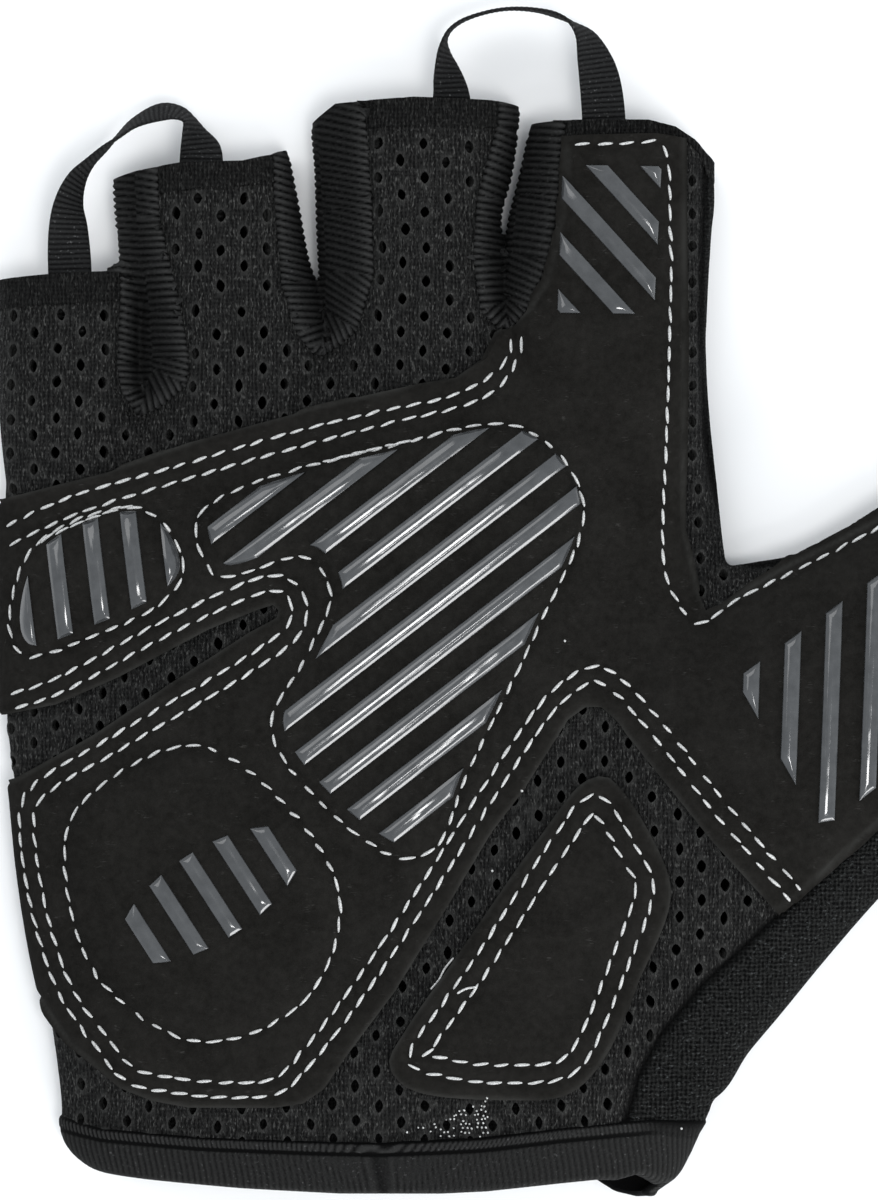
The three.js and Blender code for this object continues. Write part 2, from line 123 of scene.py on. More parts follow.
# The open ends of the fingers and the thumb, walked round clockwise from the little finger
openEnds = [
    (-95, 44.8), (-78.5, 45), (-70, 45.7), (-64, 46), (-61.9, 46.2), (-61.9, 51.5), (-68, 51.5),
    (-68, 59), (-62.3, 59.2), (-58.5, 60.2), (-52.6, 61.2), (-43.8, 61.5), (-40, 62.5), (-37.7, 63.4),
    (-35.9, 62.6), (-35.9, 66.4), (-34.8, 66.7), (-30.8, 69.6), (-19.8, 70.4), (-7.7, 70), (-4.1, 69.4),
    (-4.1, 67), (0.8, 67.2), (13.1, 67.2), (16.8, 66.3), (19.5, 64.6), (21.5, 62.6), (24.5, 59.6), (34, 50),
    (52, 27), (56.9, 19.5), (69.2, 5.4), (78.4, -10.3), (95, -28), (95, -77.4), (-95, -77.4),
]

# Patterns of the palm side, seen from above
suedeOutline = [
    (-86, 12), (-76.1, 14.5), (-62.7, 17.9), (-50.9, 22), (-33, 27), (-18.8, 30.2), (-14.1, 31),
    (-10.5, 33.6), (-8.7, 37.4), (-7.3, 38.1), (-5.4, 38.9), (-3.2, 41), (-1, 44.5), (0, 48),
    (0.8, 52), (1.4, 57), (2.4, 72), (18, 72), (17.9, 10), (18.8, 6.5), (19.9, 1.2), (21.2, -1.8),
    (23, -1.2), (27, 1.6), (32, 4.4), (38, 7.4), (45, 11), (56, 17.6), (66, 24), (82, 0), (73.4, -3.6),
    (45, -31), (34.6, -40.2), (30.7, -43.4), (21.8, -33.6), (13.7, -23.4), (8.6, -17), (6.4, -15),
    (4.2, -14.9), (1.7, -16.7), (-4.6, -26.7), (-9, -32.5), (-15.3, -43.1), (-22.5, -54.7),
    (-29.3, -63.8), (-32.3, -68.2), (-35.2, -70.2), (-39.2, -70.8), (-51.1, -70.8), (-56.3, -69.9),
    (-60.6, -68.2), (-67.9, -62.2), (-72, -56.5), (-84, -50), (-84, -28), (-75, -24.9), (-64.3, -18.8),
    (-53.6, -11.6), (-42.8, -4.6), (-38.9, -2.5), (-38.6, -1.4), (-39.4, -0.7), (-41.6, -1.4),
    (-48.3, -4.1), (-61, -10.8), (-69.7, -14.6), (-86, -18),
]
thenarOutline = [
    (7.4, -24.8), (4.1, -25.3), (-2.2, -33), (-13.9, -49.8), (-21, -60.1), (-23.2, -64.6),
    (-20.6, -68), (-6.6, -69.7), (1.6, -69), (6.2, -64.8), (11.3, -54.2), (16.1, -41.7), (15, -36.2),
]
padOutlines = {
    "pinky": [
        (-73, 7.4), (-59.2, 12.9), (-54.4, 10.4), (-51.9, 4), (-54.6, -0.1), (-65.1, -5.2),
        (-74.4, -7.8), (-76.5, -4),
    ],
    "centre": [
        (-50, 11.1), (-45.1, 15), (-22.1, 21.6), (-6.2, 24.4), (1.2, 19.4), (3.9, 12), (-2.7, -4.3),
        (-12.7, -24.9), (-16.4, -34), (-21, -36), (-32.3, -28.6), (-39.6, -17.6), (-35, -8.4),
        (-31.3, 0.8), (-34.6, 6), (-47.2, 3.5),
    ],
    "heel": [
        (-66.5, -28.8), (-50.3, -20.3), (-35.7, -30.9), (-30, -42.4), (-35.3, -56.1), (-50, -61.5),
        (-64.4, -51.9), (-68.6, -35.5),
    ],
}
gussetOutline = [
    (9.7, -95), (9.7, -74), (11.6, -66.8), (14.6, -61), (20.7, -53.6), (30.9, -44.2), (45.2, -31.5),
    (73.8, -3.9), (86, 8), (96, -20), (40, -95),
]
gussetSeam = gussetOutline[1:9]
stripOutlines = {
    "PinkyRing": [
        (-61.2, 46), (-61, 41.5), (-61.4, 33.1), (-60.8, 29.2), (-58.5, 25.6), (-55, 27.2),
        (-51.5, 30), (-51.2, 34), (-52.5, 41.5), (-54.4, 49.2), (-55.4, 53.8), (-55.6, 70),
        (-72, 70), (-66, 46),
    ],
    "RingMiddle": [
        (-40.2, 75), (-39.4, 56.9), (-38.3, 44.2), (-36.2, 37.3), (-34.2, 34.8), (-32.7, 34.2),
        (-30, 35.8), (-27.7, 37.7), (-25.4, 45.4), (-25.6, 55), (-27.3, 80),
    ],
    "MiddleIndex": [
        (-7.4, 80), (-8.1, 66.5), (-10.8, 56.9), (-11.5, 48.1), (-10.4, 40.4), (-7.3, 37.5),
        (-5.4, 38.3), (-3.5, 40.4), (-0.6, 47.3), (0.8, 56.5), (2.2, 75),
    ],
}
cuffLine = [
    (-95, -71.3), (-69.3, -72.5), (-63.7, -73.9), (-49.7, -74.9), (-24.5, -75.6), (-10.5, -74.9),
    (0.7, -73.5), (11.9, -72.5), (34, -74.2),
]


# Curves through given points
def spline(rows, step, closed=False, measured=2):
    rows = np.array(rows, float)
    if closed:
        padded = np.vstack([rows[-1:], rows, rows[:2]])
    else:
        padded = np.vstack([2 * rows[0] - rows[1], rows, 2 * rows[-1] - rows[-2]])
    chords = np.linalg.norm(np.diff(padded[:, :measured], axis=0), axis=1)
    knots = np.concatenate([[0], np.cumsum(np.sqrt(np.maximum(chords, 1e-6)))])
    slopes = np.diff(padded, axis=0) / np.diff(knots)[:, None]
    wide = (padded[2:] - padded[:-2]) / (knots[2:] - knots[:-2])[:, None]
    tangents = slopes[:-1] - wide + slopes[1:]
    pieces = []
    for i in range(len(padded) - 3):
        span = knots[i + 2] - knots[i + 1]
        t = np.linspace(0, 1, 24, endpoint=False)[:, None]
        pieces.append(
            (2 * t**3 - 3 * t**2 + 1) * padded[i + 1] + (t**3 - 2 * t**2 + t) * span * tangents[i]
            + (3 * t**2 - 2 * t**3) * padded[i + 2] + (t**3 - t**2) * span * tangents[i + 1]
        )
    pieces.append(padded[-2:-1])
    return evenly(np.vstack(pieces), step, measured, closed)


def evenly(points, step, measured, closed):
    lengths = np.linalg.norm(np.diff(points[:, :measured], axis=0), axis=1)
    along = np.concatenate([[0], np.cumsum(lengths)])
    count = max(2, int(round(along[-1] / step)) + 1)
    at = np.linspace(0, along[-1], count)
    even = np.stack([np.interp(at, along, points[:, i]) for i in range(points.shape[1])], 1)
    return even[:-1] if closed else even


def inset(path, distance, closed=True):
    # to the left of the way the path runs
    path = np.array(path, float)
    if closed:
        along = np.roll(path, -1, 0) - np.roll(path, 1, 0)
    else:
        along = np.gradient(path, axis=0)
    along /= np.linalg.norm(along, axis=1)[:, None]
    return path + distance * np.stack([-along[:, 1], along[:, 0]], 1)


def nearest(points, path, closed):
    # distance from each point to a path, and how far along the path that place is
    path = np.array(path, float)
    ends = np.roll(path, -1, 0) if closed else path[1:]
    best = np.full(len(points), 1e9)
    along = np.zeros(len(points))
    run = 0.0
    for start, end in zip(path, ends):
        step = end - start
        length = math.hypot(*step)
        if length < 1e-9:
            continue
        t = np.clip(((points[:, :2] - start) @ step) / length**2, 0, 1)
        gap = np.hypot(points[:, 0] - start[0] - t * step[0], points[:, 1] - start[1] - t * step[1])
        closer = gap < best
        best[closer] = gap[closer]
        along[closer] = run + t[closer] * length
        run += length
    return best, along


def inside(points, outline):
    outline = np.array(outline, float)
    x, y = points[:, 0], points[:, 1]
    odd = np.zeros(len(points), bool)
    for (ax, ay), (bx, by) in zip(outline, np.roll(outline, -1, 0)):
        if ay == by:
            continue
        crosses = (ay > y) != (by > y)
        odd ^= crosses & (x < ax + (y - ay) * (bx - ax) / (by - ay))
    return odd


def depthInside(points, outline):
    gap, _ = nearest(points, outline, True)
    return np.where(inside(points, outline), gap, -gap)


def smoothStep(low, high, values):
    t = np.clip((values - low) / (high - low), 0, 1)
    return t * t * (3 - 2 * t)


def bell(values, width):
    # one at zero, falling away on both sides
    return np.exp(-((values / width) ** 2))


# Meshes
def surfaceOf(piece):
    return BVHTree.FromObject(piece, bpy.context.evaluated_depsgraph_get())


def dropOn(ground, x, y):
    # where a plumb line first meets a surface, in metres
    spot, normal, _, _ = ground.ray_cast(Vector((x, y, cloth["overhead"])) * mm, Vector((0, 0, -1)))
    return spot, normal


def newPiece(name, points, faces):
    mesh = bpy.data.meshes.new(name)
    mesh.from_pydata((np.asarray(points) * mm).tolist(), [], [list(f) for f in faces])
    piece = bpy.data.objects.new(name, mesh)
    scene.collection.objects.link(piece)
    return piece


def pick(piece):
    bpy.ops.object.select_all(action="DESELECT")
    piece.select_set(True)
    bpy.context.view_layer.objects.active = piece


def copyOf(piece, name):
    twin = piece.copy()
    twin.data = piece.data.copy()
    twin.name = twin.data.name = name
    scene.collection.objects.link(twin)
    return twin


def discard(*pieces):
    for piece in pieces:
        bpy.data.meshes.remove(piece.data)


def applyModifier(piece, kind, **settings):
    pick(piece)
    modifier = piece.modifiers.new("step", kind)
    for key, value in settings.items():
        setattr(modifier, key, value)
    bpy.ops.object.modifier_apply(modifier=modifier.name)


def cut(piece, operation, *cutters):
    for cutter in cutters:
        applyModifier(piece, "BOOLEAN", operation=operation, object=cutter, solver="MANIFOLD",
                      material_mode="INDEX")


def places(piece):
    co = np.empty(len(piece.data.vertices) * 3, np.float32)
    piece.data.vertices.foreach_get("co", co)
    return co.reshape(-1, 3).astype(float) / mm


def directions(piece):
    normals = np.empty(len(piece.data.vertices) * 3, np.float32)
    piece.data.vertex_normals.foreach_get("vector", normals)
    return normals.reshape(-1, 3).astype(float)


def setPlaces(piece, points):
    piece.data.vertices.foreach_set("co", (points * mm).astype(np.float32).ravel())
    piece.data.update()


def faceOutwards(piece):
    pick(piece)
    bpy.ops.object.mode_set(mode="EDIT")
    bpy.ops.mesh.select_all(action="SELECT")
    bpy.ops.mesh.normals_make_consistent(inside=False)
    bpy.ops.object.mode_set(mode="OBJECT")


def smoothShaded(piece, angle):
    pick(piece)
    bpy.ops.object.shade_smooth_by_angle(angle=math.radians(angle))


def patternOf(primitive, **settings):
    # the points and faces of a primitive that isn't kept itself
    bpy.ops.object.select_all(action="DESELECT")
    primitive(**settings)
    piece = bpy.context.object
    points, faces = places(piece), [list(face.vertices) for face in piece.data.polygons]
    discard(piece)
    return points, faces


def repeated(name, copies, faces):
    # one piece from many copies of a pattern, each with its own places
    count = len(copies[0])
    allFaces = [[v + n * count for v in face] for n in range(len(copies)) for face in faces]
    return newPiece(name, np.vstack(copies), allFaces)


placeholders = [bpy.data.materials.new("cutSurface"), bpy.data.materials.new("cutWall")]


def prism(outline, low=cloth["deep"]):
    # a filled circle takes the outline's places and is pulled up
    bpy.ops.object.select_all(action="DESELECT")
    bpy.ops.mesh.primitive_circle_add(vertices=len(outline), fill_type="NGON")
    piece = bpy.context.object
    flat = np.column_stack([np.array(outline, float), np.full(len(outline), float(low))])
    setPlaces(piece, flat)
    bpy.ops.object.mode_set(mode="EDIT")
    bpy.ops.mesh.select_all(action="SELECT")
    bpy.ops.mesh.extrude_region_move(TRANSFORM_OT_translate={"value": (0, 0, (cloth["tall"] - low) * mm)})
    bpy.ops.mesh.select_all(action="SELECT")
    bpy.ops.mesh.normals_make_consistent(inside=False)
    bpy.ops.object.mode_set(mode="OBJECT")
    asCutter(piece)
    return piece


def asCutter(piece):
    for material in placeholders:
        piece.data.materials.append(material)
    piece.data.polygons.foreach_set("material_index", [1] * len(piece.data.polygons))


def dropWalls(piece):
    # the faces that the cutters left, then slivers and crumbs
    pick(piece)
    piece.active_material_index = 1
    bpy.ops.object.mode_set(mode="EDIT")
    bpy.ops.mesh.select_all(action="DESELECT")
    bpy.ops.object.material_slot_select()
    bpy.ops.mesh.delete(type="FACE")
    bpy.ops.mesh.select_all(action="SELECT")
    bpy.ops.mesh.remove_doubles(threshold=cloth["sliver"] * mm)
    bpy.ops.object.mode_set(mode="OBJECT")
    piece.data.materials.clear()
    dropCrumbs(piece)


def dropCrumbs(piece):
    mesh = piece.data
    edges = np.empty(len(mesh.edges) * 2, np.int32)
    mesh.edges.foreach_get("vertices", edges)
    first, second = edges.reshape(-1, 2).T
    group = np.arange(len(mesh.vertices))
    while True:
        low = np.minimum(group[first], group[second])
        before = group.copy()
        np.minimum.at(group, first, low)
        np.minimum.at(group, second, low)
        group = group[group]
        if (group == before).all():
            break
    sizes = np.bincount(group, minlength=len(group))
    crumbs = sizes[group] < cloth["crumb"]
    mesh.vertices.foreach_set("select", crumbs)
    mesh.edges.foreach_set("select", crumbs[first] & crumbs[second])
    faces = [bool(crumbs[face.vertices[0]]) for face in mesh.polygons]
    mesh.polygons.foreach_set("select", faces)
    pick(piece)
    bpy.ops.object.mode_set(mode="EDIT")
    bpy.ops.mesh.delete(type="VERT")
    bpy.ops.object.mode_set(mode="OBJECT")


def gridFaces(rows, columns, closedRows=False, closedColumns=True):
    i = np.arange(rows if closedRows else rows - 1)[:, None]
    j = np.arange(columns if closedColumns else columns - 1)[None, :]
    a = i * columns + j
    b = i * columns + (j + 1) % columns
    c = ((i + 1) % rows) * columns + (j + 1) % columns
    d = ((i + 1) % rows) * columns + j
    return np.stack([a, b, c, d], -1).reshape(-1, 4).tolist()


# The bare hand form
def sectionRing(row, offset, angles):
    left, right = np.array(row[0:2]), np.array(row[2:4])
    width = np.linalg.norm(right - left)
    across = (right - left) / width
    ahead = np.array([-across[1], across[0]])
    overTop = np.sin(angles) >= 0
    power = np.where(overTop, cloth["topPower"], cloth["backPower"])
    u = np.sign(np.cos(angles)) * np.abs(np.cos(angles)) ** (2 / power)
    v = np.abs(np.sin(angles)) ** (2 / power)
    height = np.where(overTop, row[4] + offset, -(cloth["backDrop"] + offset))
    plan = (left + right) / 2 + np.outer(u * (width / 2 + offset), across)
    plan += np.outer(row[5] * (1 - u * u), ahead)
    z = np.maximum(np.maximum(0, -offset), cloth["seam"] + height * v)
    return np.column_stack([plan, z])


def evenAngles(count):
    # closer together where the section turns, at its two sides
    t = np.linspace(0, 2 * math.pi, count, endpoint=False)
    return t - 0.3 * np.sin(2 * t)


def pastOpening(rows, distance):
    rows = np.array(rows, float)
    first = rows[0].copy()
    step = (rows[0, 0:2] + rows[0, 2:4] - rows[1, 0:2] - rows[1, 2:4]) / 2
    step *= distance / np.linalg.norm(step)
    first[0:2] += step
    first[2:4] += step
    return np.vstack([first, rows])


def tube(name, rows):
    even = spline(rows, cloth["sectionStep"] * math.sqrt(2), measured=4)
    angles = evenAngles(cloth["ringPoints"])
    rings = [sectionRing(row, 0, angles) for row in even]
    count = len(angles)
    faces = gridFaces(len(rings), count)
    faces.append(list(range(count - 1, -1, -1)))
    faces.append(list(range((len(rings) - 1) * count, len(rings) * count)))
    piece = newPiece(name, np.vstack(rings), faces)
    faceOutwards(piece)
    return piece


def makeHandForm():
    parts = []
    for name, rows in handSections.items():
        if name == "pinky":
            rows = [cloth["pinkyPast"], *rows]
        elif name != "palm":
            rows = pastOpening(rows, cloth["pastEnd"])
        parts.append(tube(name, rows))
    bpy.ops.object.select_all(action="DESELECT")
    for part in parts:
        part.select_set(True)
    bpy.context.view_layer.objects.active = parts[0]
    bpy.ops.object.join()
    form = parts[0]
    form.name = "handForm"
    applyModifier(form, "REMESH", mode="VOXEL", voxel_size=cloth["voxel"] * mm)
    applyModifier(form, "SMOOTH", factor=0.5, iterations=cloth["smoothing"])
    for material in placeholders:
        form.data.materials.append(material)
    return form


form = makeHandForm()
print("hand form", len(form.data.polygons), "faces")


# Seams and hems that the bare form already shows
seams = {
    "depth": 0.5,
    "width": 0.6,
    "sideDepth": 0.35,
    "sideWidth": 0.55,
    "shadeWidth": 0.7,
    "sewn": 12,  # this many points of a strip's outline are sewn, the rest lie past the finger's end
    "waveHeight": 0.22,  # slow unevenness of the laid-down cloth
    "borderInner": [
        (20.9, 68), (21.2, 60), (20.7, 48), (20.5, 38), (20.8, 30.8), (21.2, 23.8), (22.1, 17.8),
        (23.5, 12.2), (24.6, 8.5), (25.8, 5.7), (27.6, 4.9), (30, 5), (34, 5.7), (37.6, 7.1), (45, 11.7),
        (60, 20.8),
    ],
    "borderOuter": [(66, 34), (40, 40), (40, 80), (20.9, 80)],
}
hemBands = {
    "Pinky": [
        (-95, 46.8), (-95, 40.5), (-79, 40.8), (-66, 41.7), (-61.1, 42.2), (-58.2, 42.6), (-58.2, 46.8),
    ],
    "Ring": [
        (-68, 70), (-68, 57), (-55.4, 56.9), (-50, 57.7), (-44, 58), (-39.6, 59), (-35.9, 59),
        (-35.9, 70),
    ],
    "Middle": [
        (-35.8, 80), (-35.8, 65.4), (-27, 66), (-18, 66.7), (-8.2, 66.3), (-4.4, 66), (-4.4, 80),
    ],
    "Index": [
        (-4.2, 80), (-4.2, 64.6), (1, 64.8), (14, 65.2), (18.2, 64.6), (20.3, 62.6), (21.4, 59.5),
        (26, 57), (34, 80),
    ],
    "Thumb": [(52, 21), (53.9, 17.5), (64.5, 3), (75.7, -12.5), (80, -18), (95, -10), (70, 35)],
}


def slowWave(points):
    x, y = points[:, 0], points[:, 1]
    rise = np.sin(x / 6.1 + 0.9) * np.sin(y / 7.7 - 0.4) + 0.7 * np.sin((x + y) / 9.3 + 2.1)
    return rise * seams["waveHeight"] / 1.7


def pressSeams():
    points, normals = places(form), directions(form)
    onPalm = smoothStep(cloth["seam"] + 0.5, cloth["seam"] + 3, points[:, 2])
    paths = [seams["borderInner"], gussetSeam]
    paths += [outline[:seams["sewn"]] for outline in stripOutlines.values()]
    depth = np.zeros(len(points))
    for path in paths:
        gap, _ = nearest(points, path, False)
        depth = np.maximum(depth, seams["depth"] * bell(gap, seams["width"]) * onPalm)
    side = bell(points[:, 2] - cloth["seam"], seams["sideWidth"]) * (1 - np.abs(normals[:, 2]))
    depth = np.maximum(depth, seams["sideDepth"] * side)
    points -= normals * depth[:, None]
    points[:, 2] += slowWave(points) * onPalm
    setPlaces(form, points)


pressSeams()
everywhere = [(-130, -130), (130, -130), (130, 130), (-130, 130)]
cut(form, "INTERSECT", prism(openEnds))
palmSpace = prism(everywhere, cloth["seam"])
gusset = prism(gussetOutline)
borderOutline = seams["borderInner"] + seams["borderOuter"]
border = prism(borderOutline)
cut(palmSpace, "DIFFERENCE", gusset, border)
stripBottom = 2.9
strips = {name: prism(outline, stripBottom) for name, outline in stripOutlines.items()}
hems = {name: prism(outline) for name, outline in hemBands.items()}
print("form trimmed", len(form.data.polygons), "faces")


def panel(name, within=(), without=()):
    piece = copyOf(form, name)
    cut(piece, "INTERSECT", *within)
    cut(piece, "DIFFERENCE", *without)
    dropWalls(piece)
    return piece


def clothWall(piece, thickness, outwards=False, lining=0):
    # gives a skin its thickness, on the inside or on the outside, and may give its inner side and walls a
    # second material, the painted-shade knit wherever it is used
    applyModifier(piece, "SOLIDIFY", thickness=thickness * mm, offset=1 if outwards else -1,
                  material_offset=lining, material_offset_rim=lining)


def linedWith(piece, *materials):
    piece.data.materials.clear()
    for material in materials:
        piece.data.materials.append(material)


# painted seam shadow: one beside the gusset seam and the border seam, falling away from them
def seamShade(points):
    shade = np.zeros(len(points))
    for path in (gussetSeam, seams["borderInner"]):
        gap, _ = nearest(points, path, False)
        shade = np.maximum(shade, bell(gap, seams["shadeWidth"]))
    return shade


def outerLayer(piece, skin):
    # the half of a walled skin's points that lies further out
    points = places(piece)
    count = len(skin)
    first = np.einsum("ij,ij->i", points[count:2 * count] - points[:count], skin).mean() > 0
    return slice(count, 2 * count) if first else slice(0, count)


def thinned(piece, share):
    applyModifier(piece, "DECIMATE", ratio=share)


def aboveTable(piece):
    points = places(piece)
    points[:, 2] = np.maximum(points[:, 2], 0)
    setPlaces(piece, points)


def setAttribute(piece, name, values):
    attribute = piece.data.attributes.new(name, "FLOAT", "POINT")
    attribute.data.foreach_set("value", np.asarray(values, np.float32))


def finishPiece(piece, material, slotName, *nodes, angle=40):
    # without a material it keeps the ones that it is lined with
    if material:
        linedWith(piece, material)
    smoothShaded(piece, angle)
    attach(piece, "root")
    if nodes:
        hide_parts(*nodes)
    return piece


# Materials
def newMaterial(name, roughness, specular, **sockets):
    material = bpy.data.materials.new(name)
    material.use_nodes = True
    shader = material.node_tree.nodes["Principled BSDF"]
    shader.inputs["Roughness"].default_value = roughness
    shader.inputs["Specular IOR Level"].default_value = specular
    for socket, value in sockets.items():
        shader.inputs[socket.replace("_", " ")].default_value = value
    return material, material.node_tree, shader


def addNode(tree, kind, settings=None, **inputs):
    node = tree.nodes.new("ShaderNode" + kind)
    for key, value in (settings or {}).items():
        setattr(node, key, value)
    for key, value in inputs.items():
        socket = node.inputs[key.replace("_", " ")]
        if isinstance(value, bpy.types.NodeSocket):
            tree.links.new(value, socket)
        else:
            socket.default_value = value
    return node


def maths(tree, operation, *values):
    # one Math node
    node = tree.nodes.new("ShaderNodeMath")
    node.operation = operation
    for socket, value in zip(node.inputs, values):
        if isinstance(value, bpy.types.NodeSocket):
            tree.links.new(value, socket)
        else:
            socket.default_value = value
    return node.outputs[0]


def placeInMm(tree, scale=(1, 1, 1)):
    coordinates = tree.nodes.new("ShaderNodeTexCoord")
    mapping = addNode(tree, "Mapping", Vector=coordinates.outputs["Object"],
                      Scale=[1000 * s for s in scale])
    return mapping.outputs[0]


def noise(tree, vector, scale, detail, roughness=0.5):
    node = addNode(tree, "TexNoise", Vector=vector, Scale=scale, Detail=detail, Roughness=roughness)
    return node.outputs["Fac"]


def between(tree, value, low, high, toLow=0.0, toHigh=1.0):
    node = addNode(tree, "MapRange", Value=value)
    for key, number in zip((1, 2, 3, 4), (low, high, toLow, toHigh)):
        node.inputs[key].default_value = number
    return node.outputs[0]


def mixed(tree, factor, below, above):
    # a colour laid over another where the factor is high
    node = tree.nodes.new("ShaderNodeMix")
    node.data_type = "RGBA"
    tree.links.new(factor, node.inputs["Factor"])
    if isinstance(below, bpy.types.NodeSocket):
        tree.links.new(below, node.inputs[6])
    else:
        node.inputs[6].default_value = (*below, 1)
    node.inputs[7].default_value = (*above, 1)
    return node.outputs[2]


def relief(tree, shader, height, depthInMm):
    bump = addNode(tree, "Bump", Height=height, Distance=depthInMm * mm, Strength=1.0)
    tree.links.new(bump.outputs[0], shader.inputs["Normal"])


def attributeOf(tree, name):
    return addNode(tree, "Attribute", {"attribute_name": name}).outputs["Fac"]


def wandering(tree, place, scale, amount):
    # the pattern of a knit wanders a little with the cloth
    wobble = addNode(tree, "TexNoise", Vector=place, Scale=scale, Detail=2)
    drift = addNode(tree, "VectorMath", {"operation": "MULTIPLY_ADD"})
    tree.links.new(wobble.outputs["Color"], drift.inputs[0])
    drift.inputs[1].default_value = amount
    tree.links.new(place, drift.inputs[2])
    axes = addNode(tree, "SeparateXYZ", Vector=drift.outputs[0])
    return axes.outputs["X"], axes.outputs["Y"]


def wave(tree, value, pitch):
    return maths(tree, "SINE", maths(tree, "MULTIPLY", value, 2 * math.pi / pitch))


# painted shadow: the knit's colour goes near black beside the gusset and border seams, where their shade
# falls
def paintedSeamShadow(tree, colour):
    shade = maths(tree, "MULTIPLY", attributeOf(tree, "seam"), 0.9)
    return mixed(tree, shade, colour, (0.001, 0.001, 0.001))


perforation = {
    "columnPitch": 3.2,
    "rowPitch": 4.8,
    "column": -18.3,  # one hole's place
    "row": 44.5,
    "halfWidth": 0.62,
    "halfHeight": 0.92,
    "pointed": 1.35,
    "rim": 0.18,
    "rimWidth": 0.4,
    "edgeColumn": 19.2,  # the one column beside the index finger's suede
    "columns": (-20, 30),
    "rows": (-28, 8),
    "scatter": 0.12,
    "fromStrip": 0.9,
    "fromHem": 0.7,
    "fromBorder": 0.7,
    "sides": 10,
}
knit = {
    "walePitch": 0.58,
    "coursePitch": 0.62,
    "wanderScale": 0.55,
    "wander": (0.9, 0.9, 0),
    "relief": 0.3,
    "fleck": (0.095, 0.095, 0.09),
    # the rim tone is a painted highlight on the raised yarn round each hole
    "rim": (0.045, 0.045, 0.043),
}


def knitMaterial(name, tones, flecked):
    material, tree, shader = newMaterial(name, 0.85, 0.06)
    x, y = wandering(tree, placeInMm(tree), knit["wanderScale"], knit["wander"])
    wale = wave(tree, x, knit["walePitch"])
    lean = maths(tree, "MULTIPLY_ADD", maths(tree, "ABSOLUTE", wale), 0.2, y)
    course = wave(tree, lean, knit["coursePitch"])
    yarn = maths(tree, "MULTIPLY_ADD", course, 0.16, maths(tree, "MULTIPLY", wale, 0.3))
    fuzz = noise(tree, placeInMm(tree, (3.6, 0.95, 1.4)), 1, 3, 0.65)
    yarn = maths(tree, "ADD", maths(tree, "ADD", yarn, 0.5), maths(tree, "MULTIPLY_ADD", fuzz, 2, -1))
    rim = attributeOf(tree, "rim")
    height = maths(tree, "MULTIPLY_ADD", rim, 0.45, yarn)
    relief(tree, shader, height, knit["relief"])
    flecks = between(tree, noise(tree, placeInMm(tree, (4.4, 1.3, 2)), 1, 2, 0.55), 0.56, 0.7)
    colour = mixed(tree, between(tree, height, 0.05, 1.25), *tones)
    colour = mixed(tree, maths(tree, "MULTIPLY", flecks, flecked), colour, knit["fleck"])
    # painted highlight: the raised yarn round each hole is coloured lighter, where it would catch the light
    colour = mixed(tree, maths(tree, "MULTIPLY", rim, 0.45), colour, knit["rim"])
    tree.links.new(paintedSeamShadow(tree, colour), shader.inputs["Base Color"])
    return material


stretch = {
    "pitch": 1.25,  # of the two slanting rows of stitches that cross
    "wanderScale": 0.5,
    "wander": (0.7, 0.7, 0.7),
    "relief": 0.45,
    "dark": (0.0006, 0.0007, 0.0007),
    "light": (0.0225, 0.023, 0.0222),
    "fleck": (0.075, 0.08, 0.08),
}


def stretchKnitMaterial():
    material, tree, shader = newMaterial("stretchKnitCloth", 0.9, 0.05)
    place = placeInMm(tree)
    x, y = wandering(tree, place, stretch["wanderScale"], stretch["wander"])
    ways = [wave(tree, maths(tree, kind, x, y), stretch["pitch"]) for kind in ("ADD", "SUBTRACT")]
    bumps = maths(tree, "MULTIPLY", *ways)
    fine = noise(tree, place, 2.4, 3, 0.6)
    height = maths(tree, "ADD", maths(tree, "MULTIPLY_ADD", bumps, 0.28, 0.3),
                  maths(tree, "MULTIPLY_ADD", fine, 1.4, -0.6))
    relief(tree, shader, height, stretch["relief"])
    dots = between(tree, noise(tree, placeInMm(tree, (1.7, 2.4, 2)), 1, 2, 0.6), 0.6, 0.72)
    colour = mixed(tree, between(tree, height, 0.15, 0.95), stretch["dark"], stretch["light"])
    colour = mixed(tree, maths(tree, "MULTIPLY", dots, 0.5), colour, stretch["fleck"])
    tree.links.new(paintedSeamShadow(tree, colour), shader.inputs["Base Color"])
    return material


suedeTones = {
    "dark": (0.0058, 0.0055, 0.0049),
    "light": (0.014, 0.0133, 0.0121),
    "lint": (0.06, 0.058, 0.055),
    "paintedEdgeLight": (0.032, 0.032, 0.03),
}


def suedeMaterial():
    material, tree, shader = newMaterial("microSuede", 0.95, 0.03)
    place = placeInMm(tree)
    nap = noise(tree, place, 4.5, 4, 0.65)
    clouds = noise(tree, place, 0.12, 3, 0.5)
    relief(tree, shader, nap, 0.05)
    mottle = noise(tree, place, 0.9, 3, 0.65)
    tone = maths(tree, "MULTIPLY_ADD", mottle, 0.6, maths(tree, "MULTIPLY", clouds, 0.5))
    tone = maths(tree, "MULTIPLY_ADD", nap, 0.35, tone)
    colour = mixed(tree, between(tree, tone, 0.5, 0.95), suedeTones["dark"], suedeTones["light"])
    lint = addNode(tree, "TexVoronoi", {"feature": "F1"}, Vector=placeInMm(tree, (0.35, 0.5, 0.4)),
                   Scale=1.0, Randomness=1.0)
    hair = noise(tree, placeInMm(tree, (1.2, 5, 3)), 1, 3, 0.6)
    spot = maths(tree, "MULTIPLY", between(tree, lint.outputs["Distance"], 0.34, 0.1),
                between(tree, hair, 0.56, 0.72))
    colour = mixed(tree, maths(tree, "MULTIPLY", spot, 0.5), colour, suedeTones["lint"])
    # painted highlight: the suede turns lighter along its rounded cut edge, patchy with the clouds
    paintedEdgeLight = maths(tree, "MULTIPLY", attributeOf(tree, "rim"), between(tree, clouds, 0.35, 0.6, 0.2, 0.6))
    colour = mixed(tree, paintedEdgeLight, colour, suedeTones["paintedEdgeLight"])
    tree.links.new(colour, shader.inputs["Base Color"])
    return material


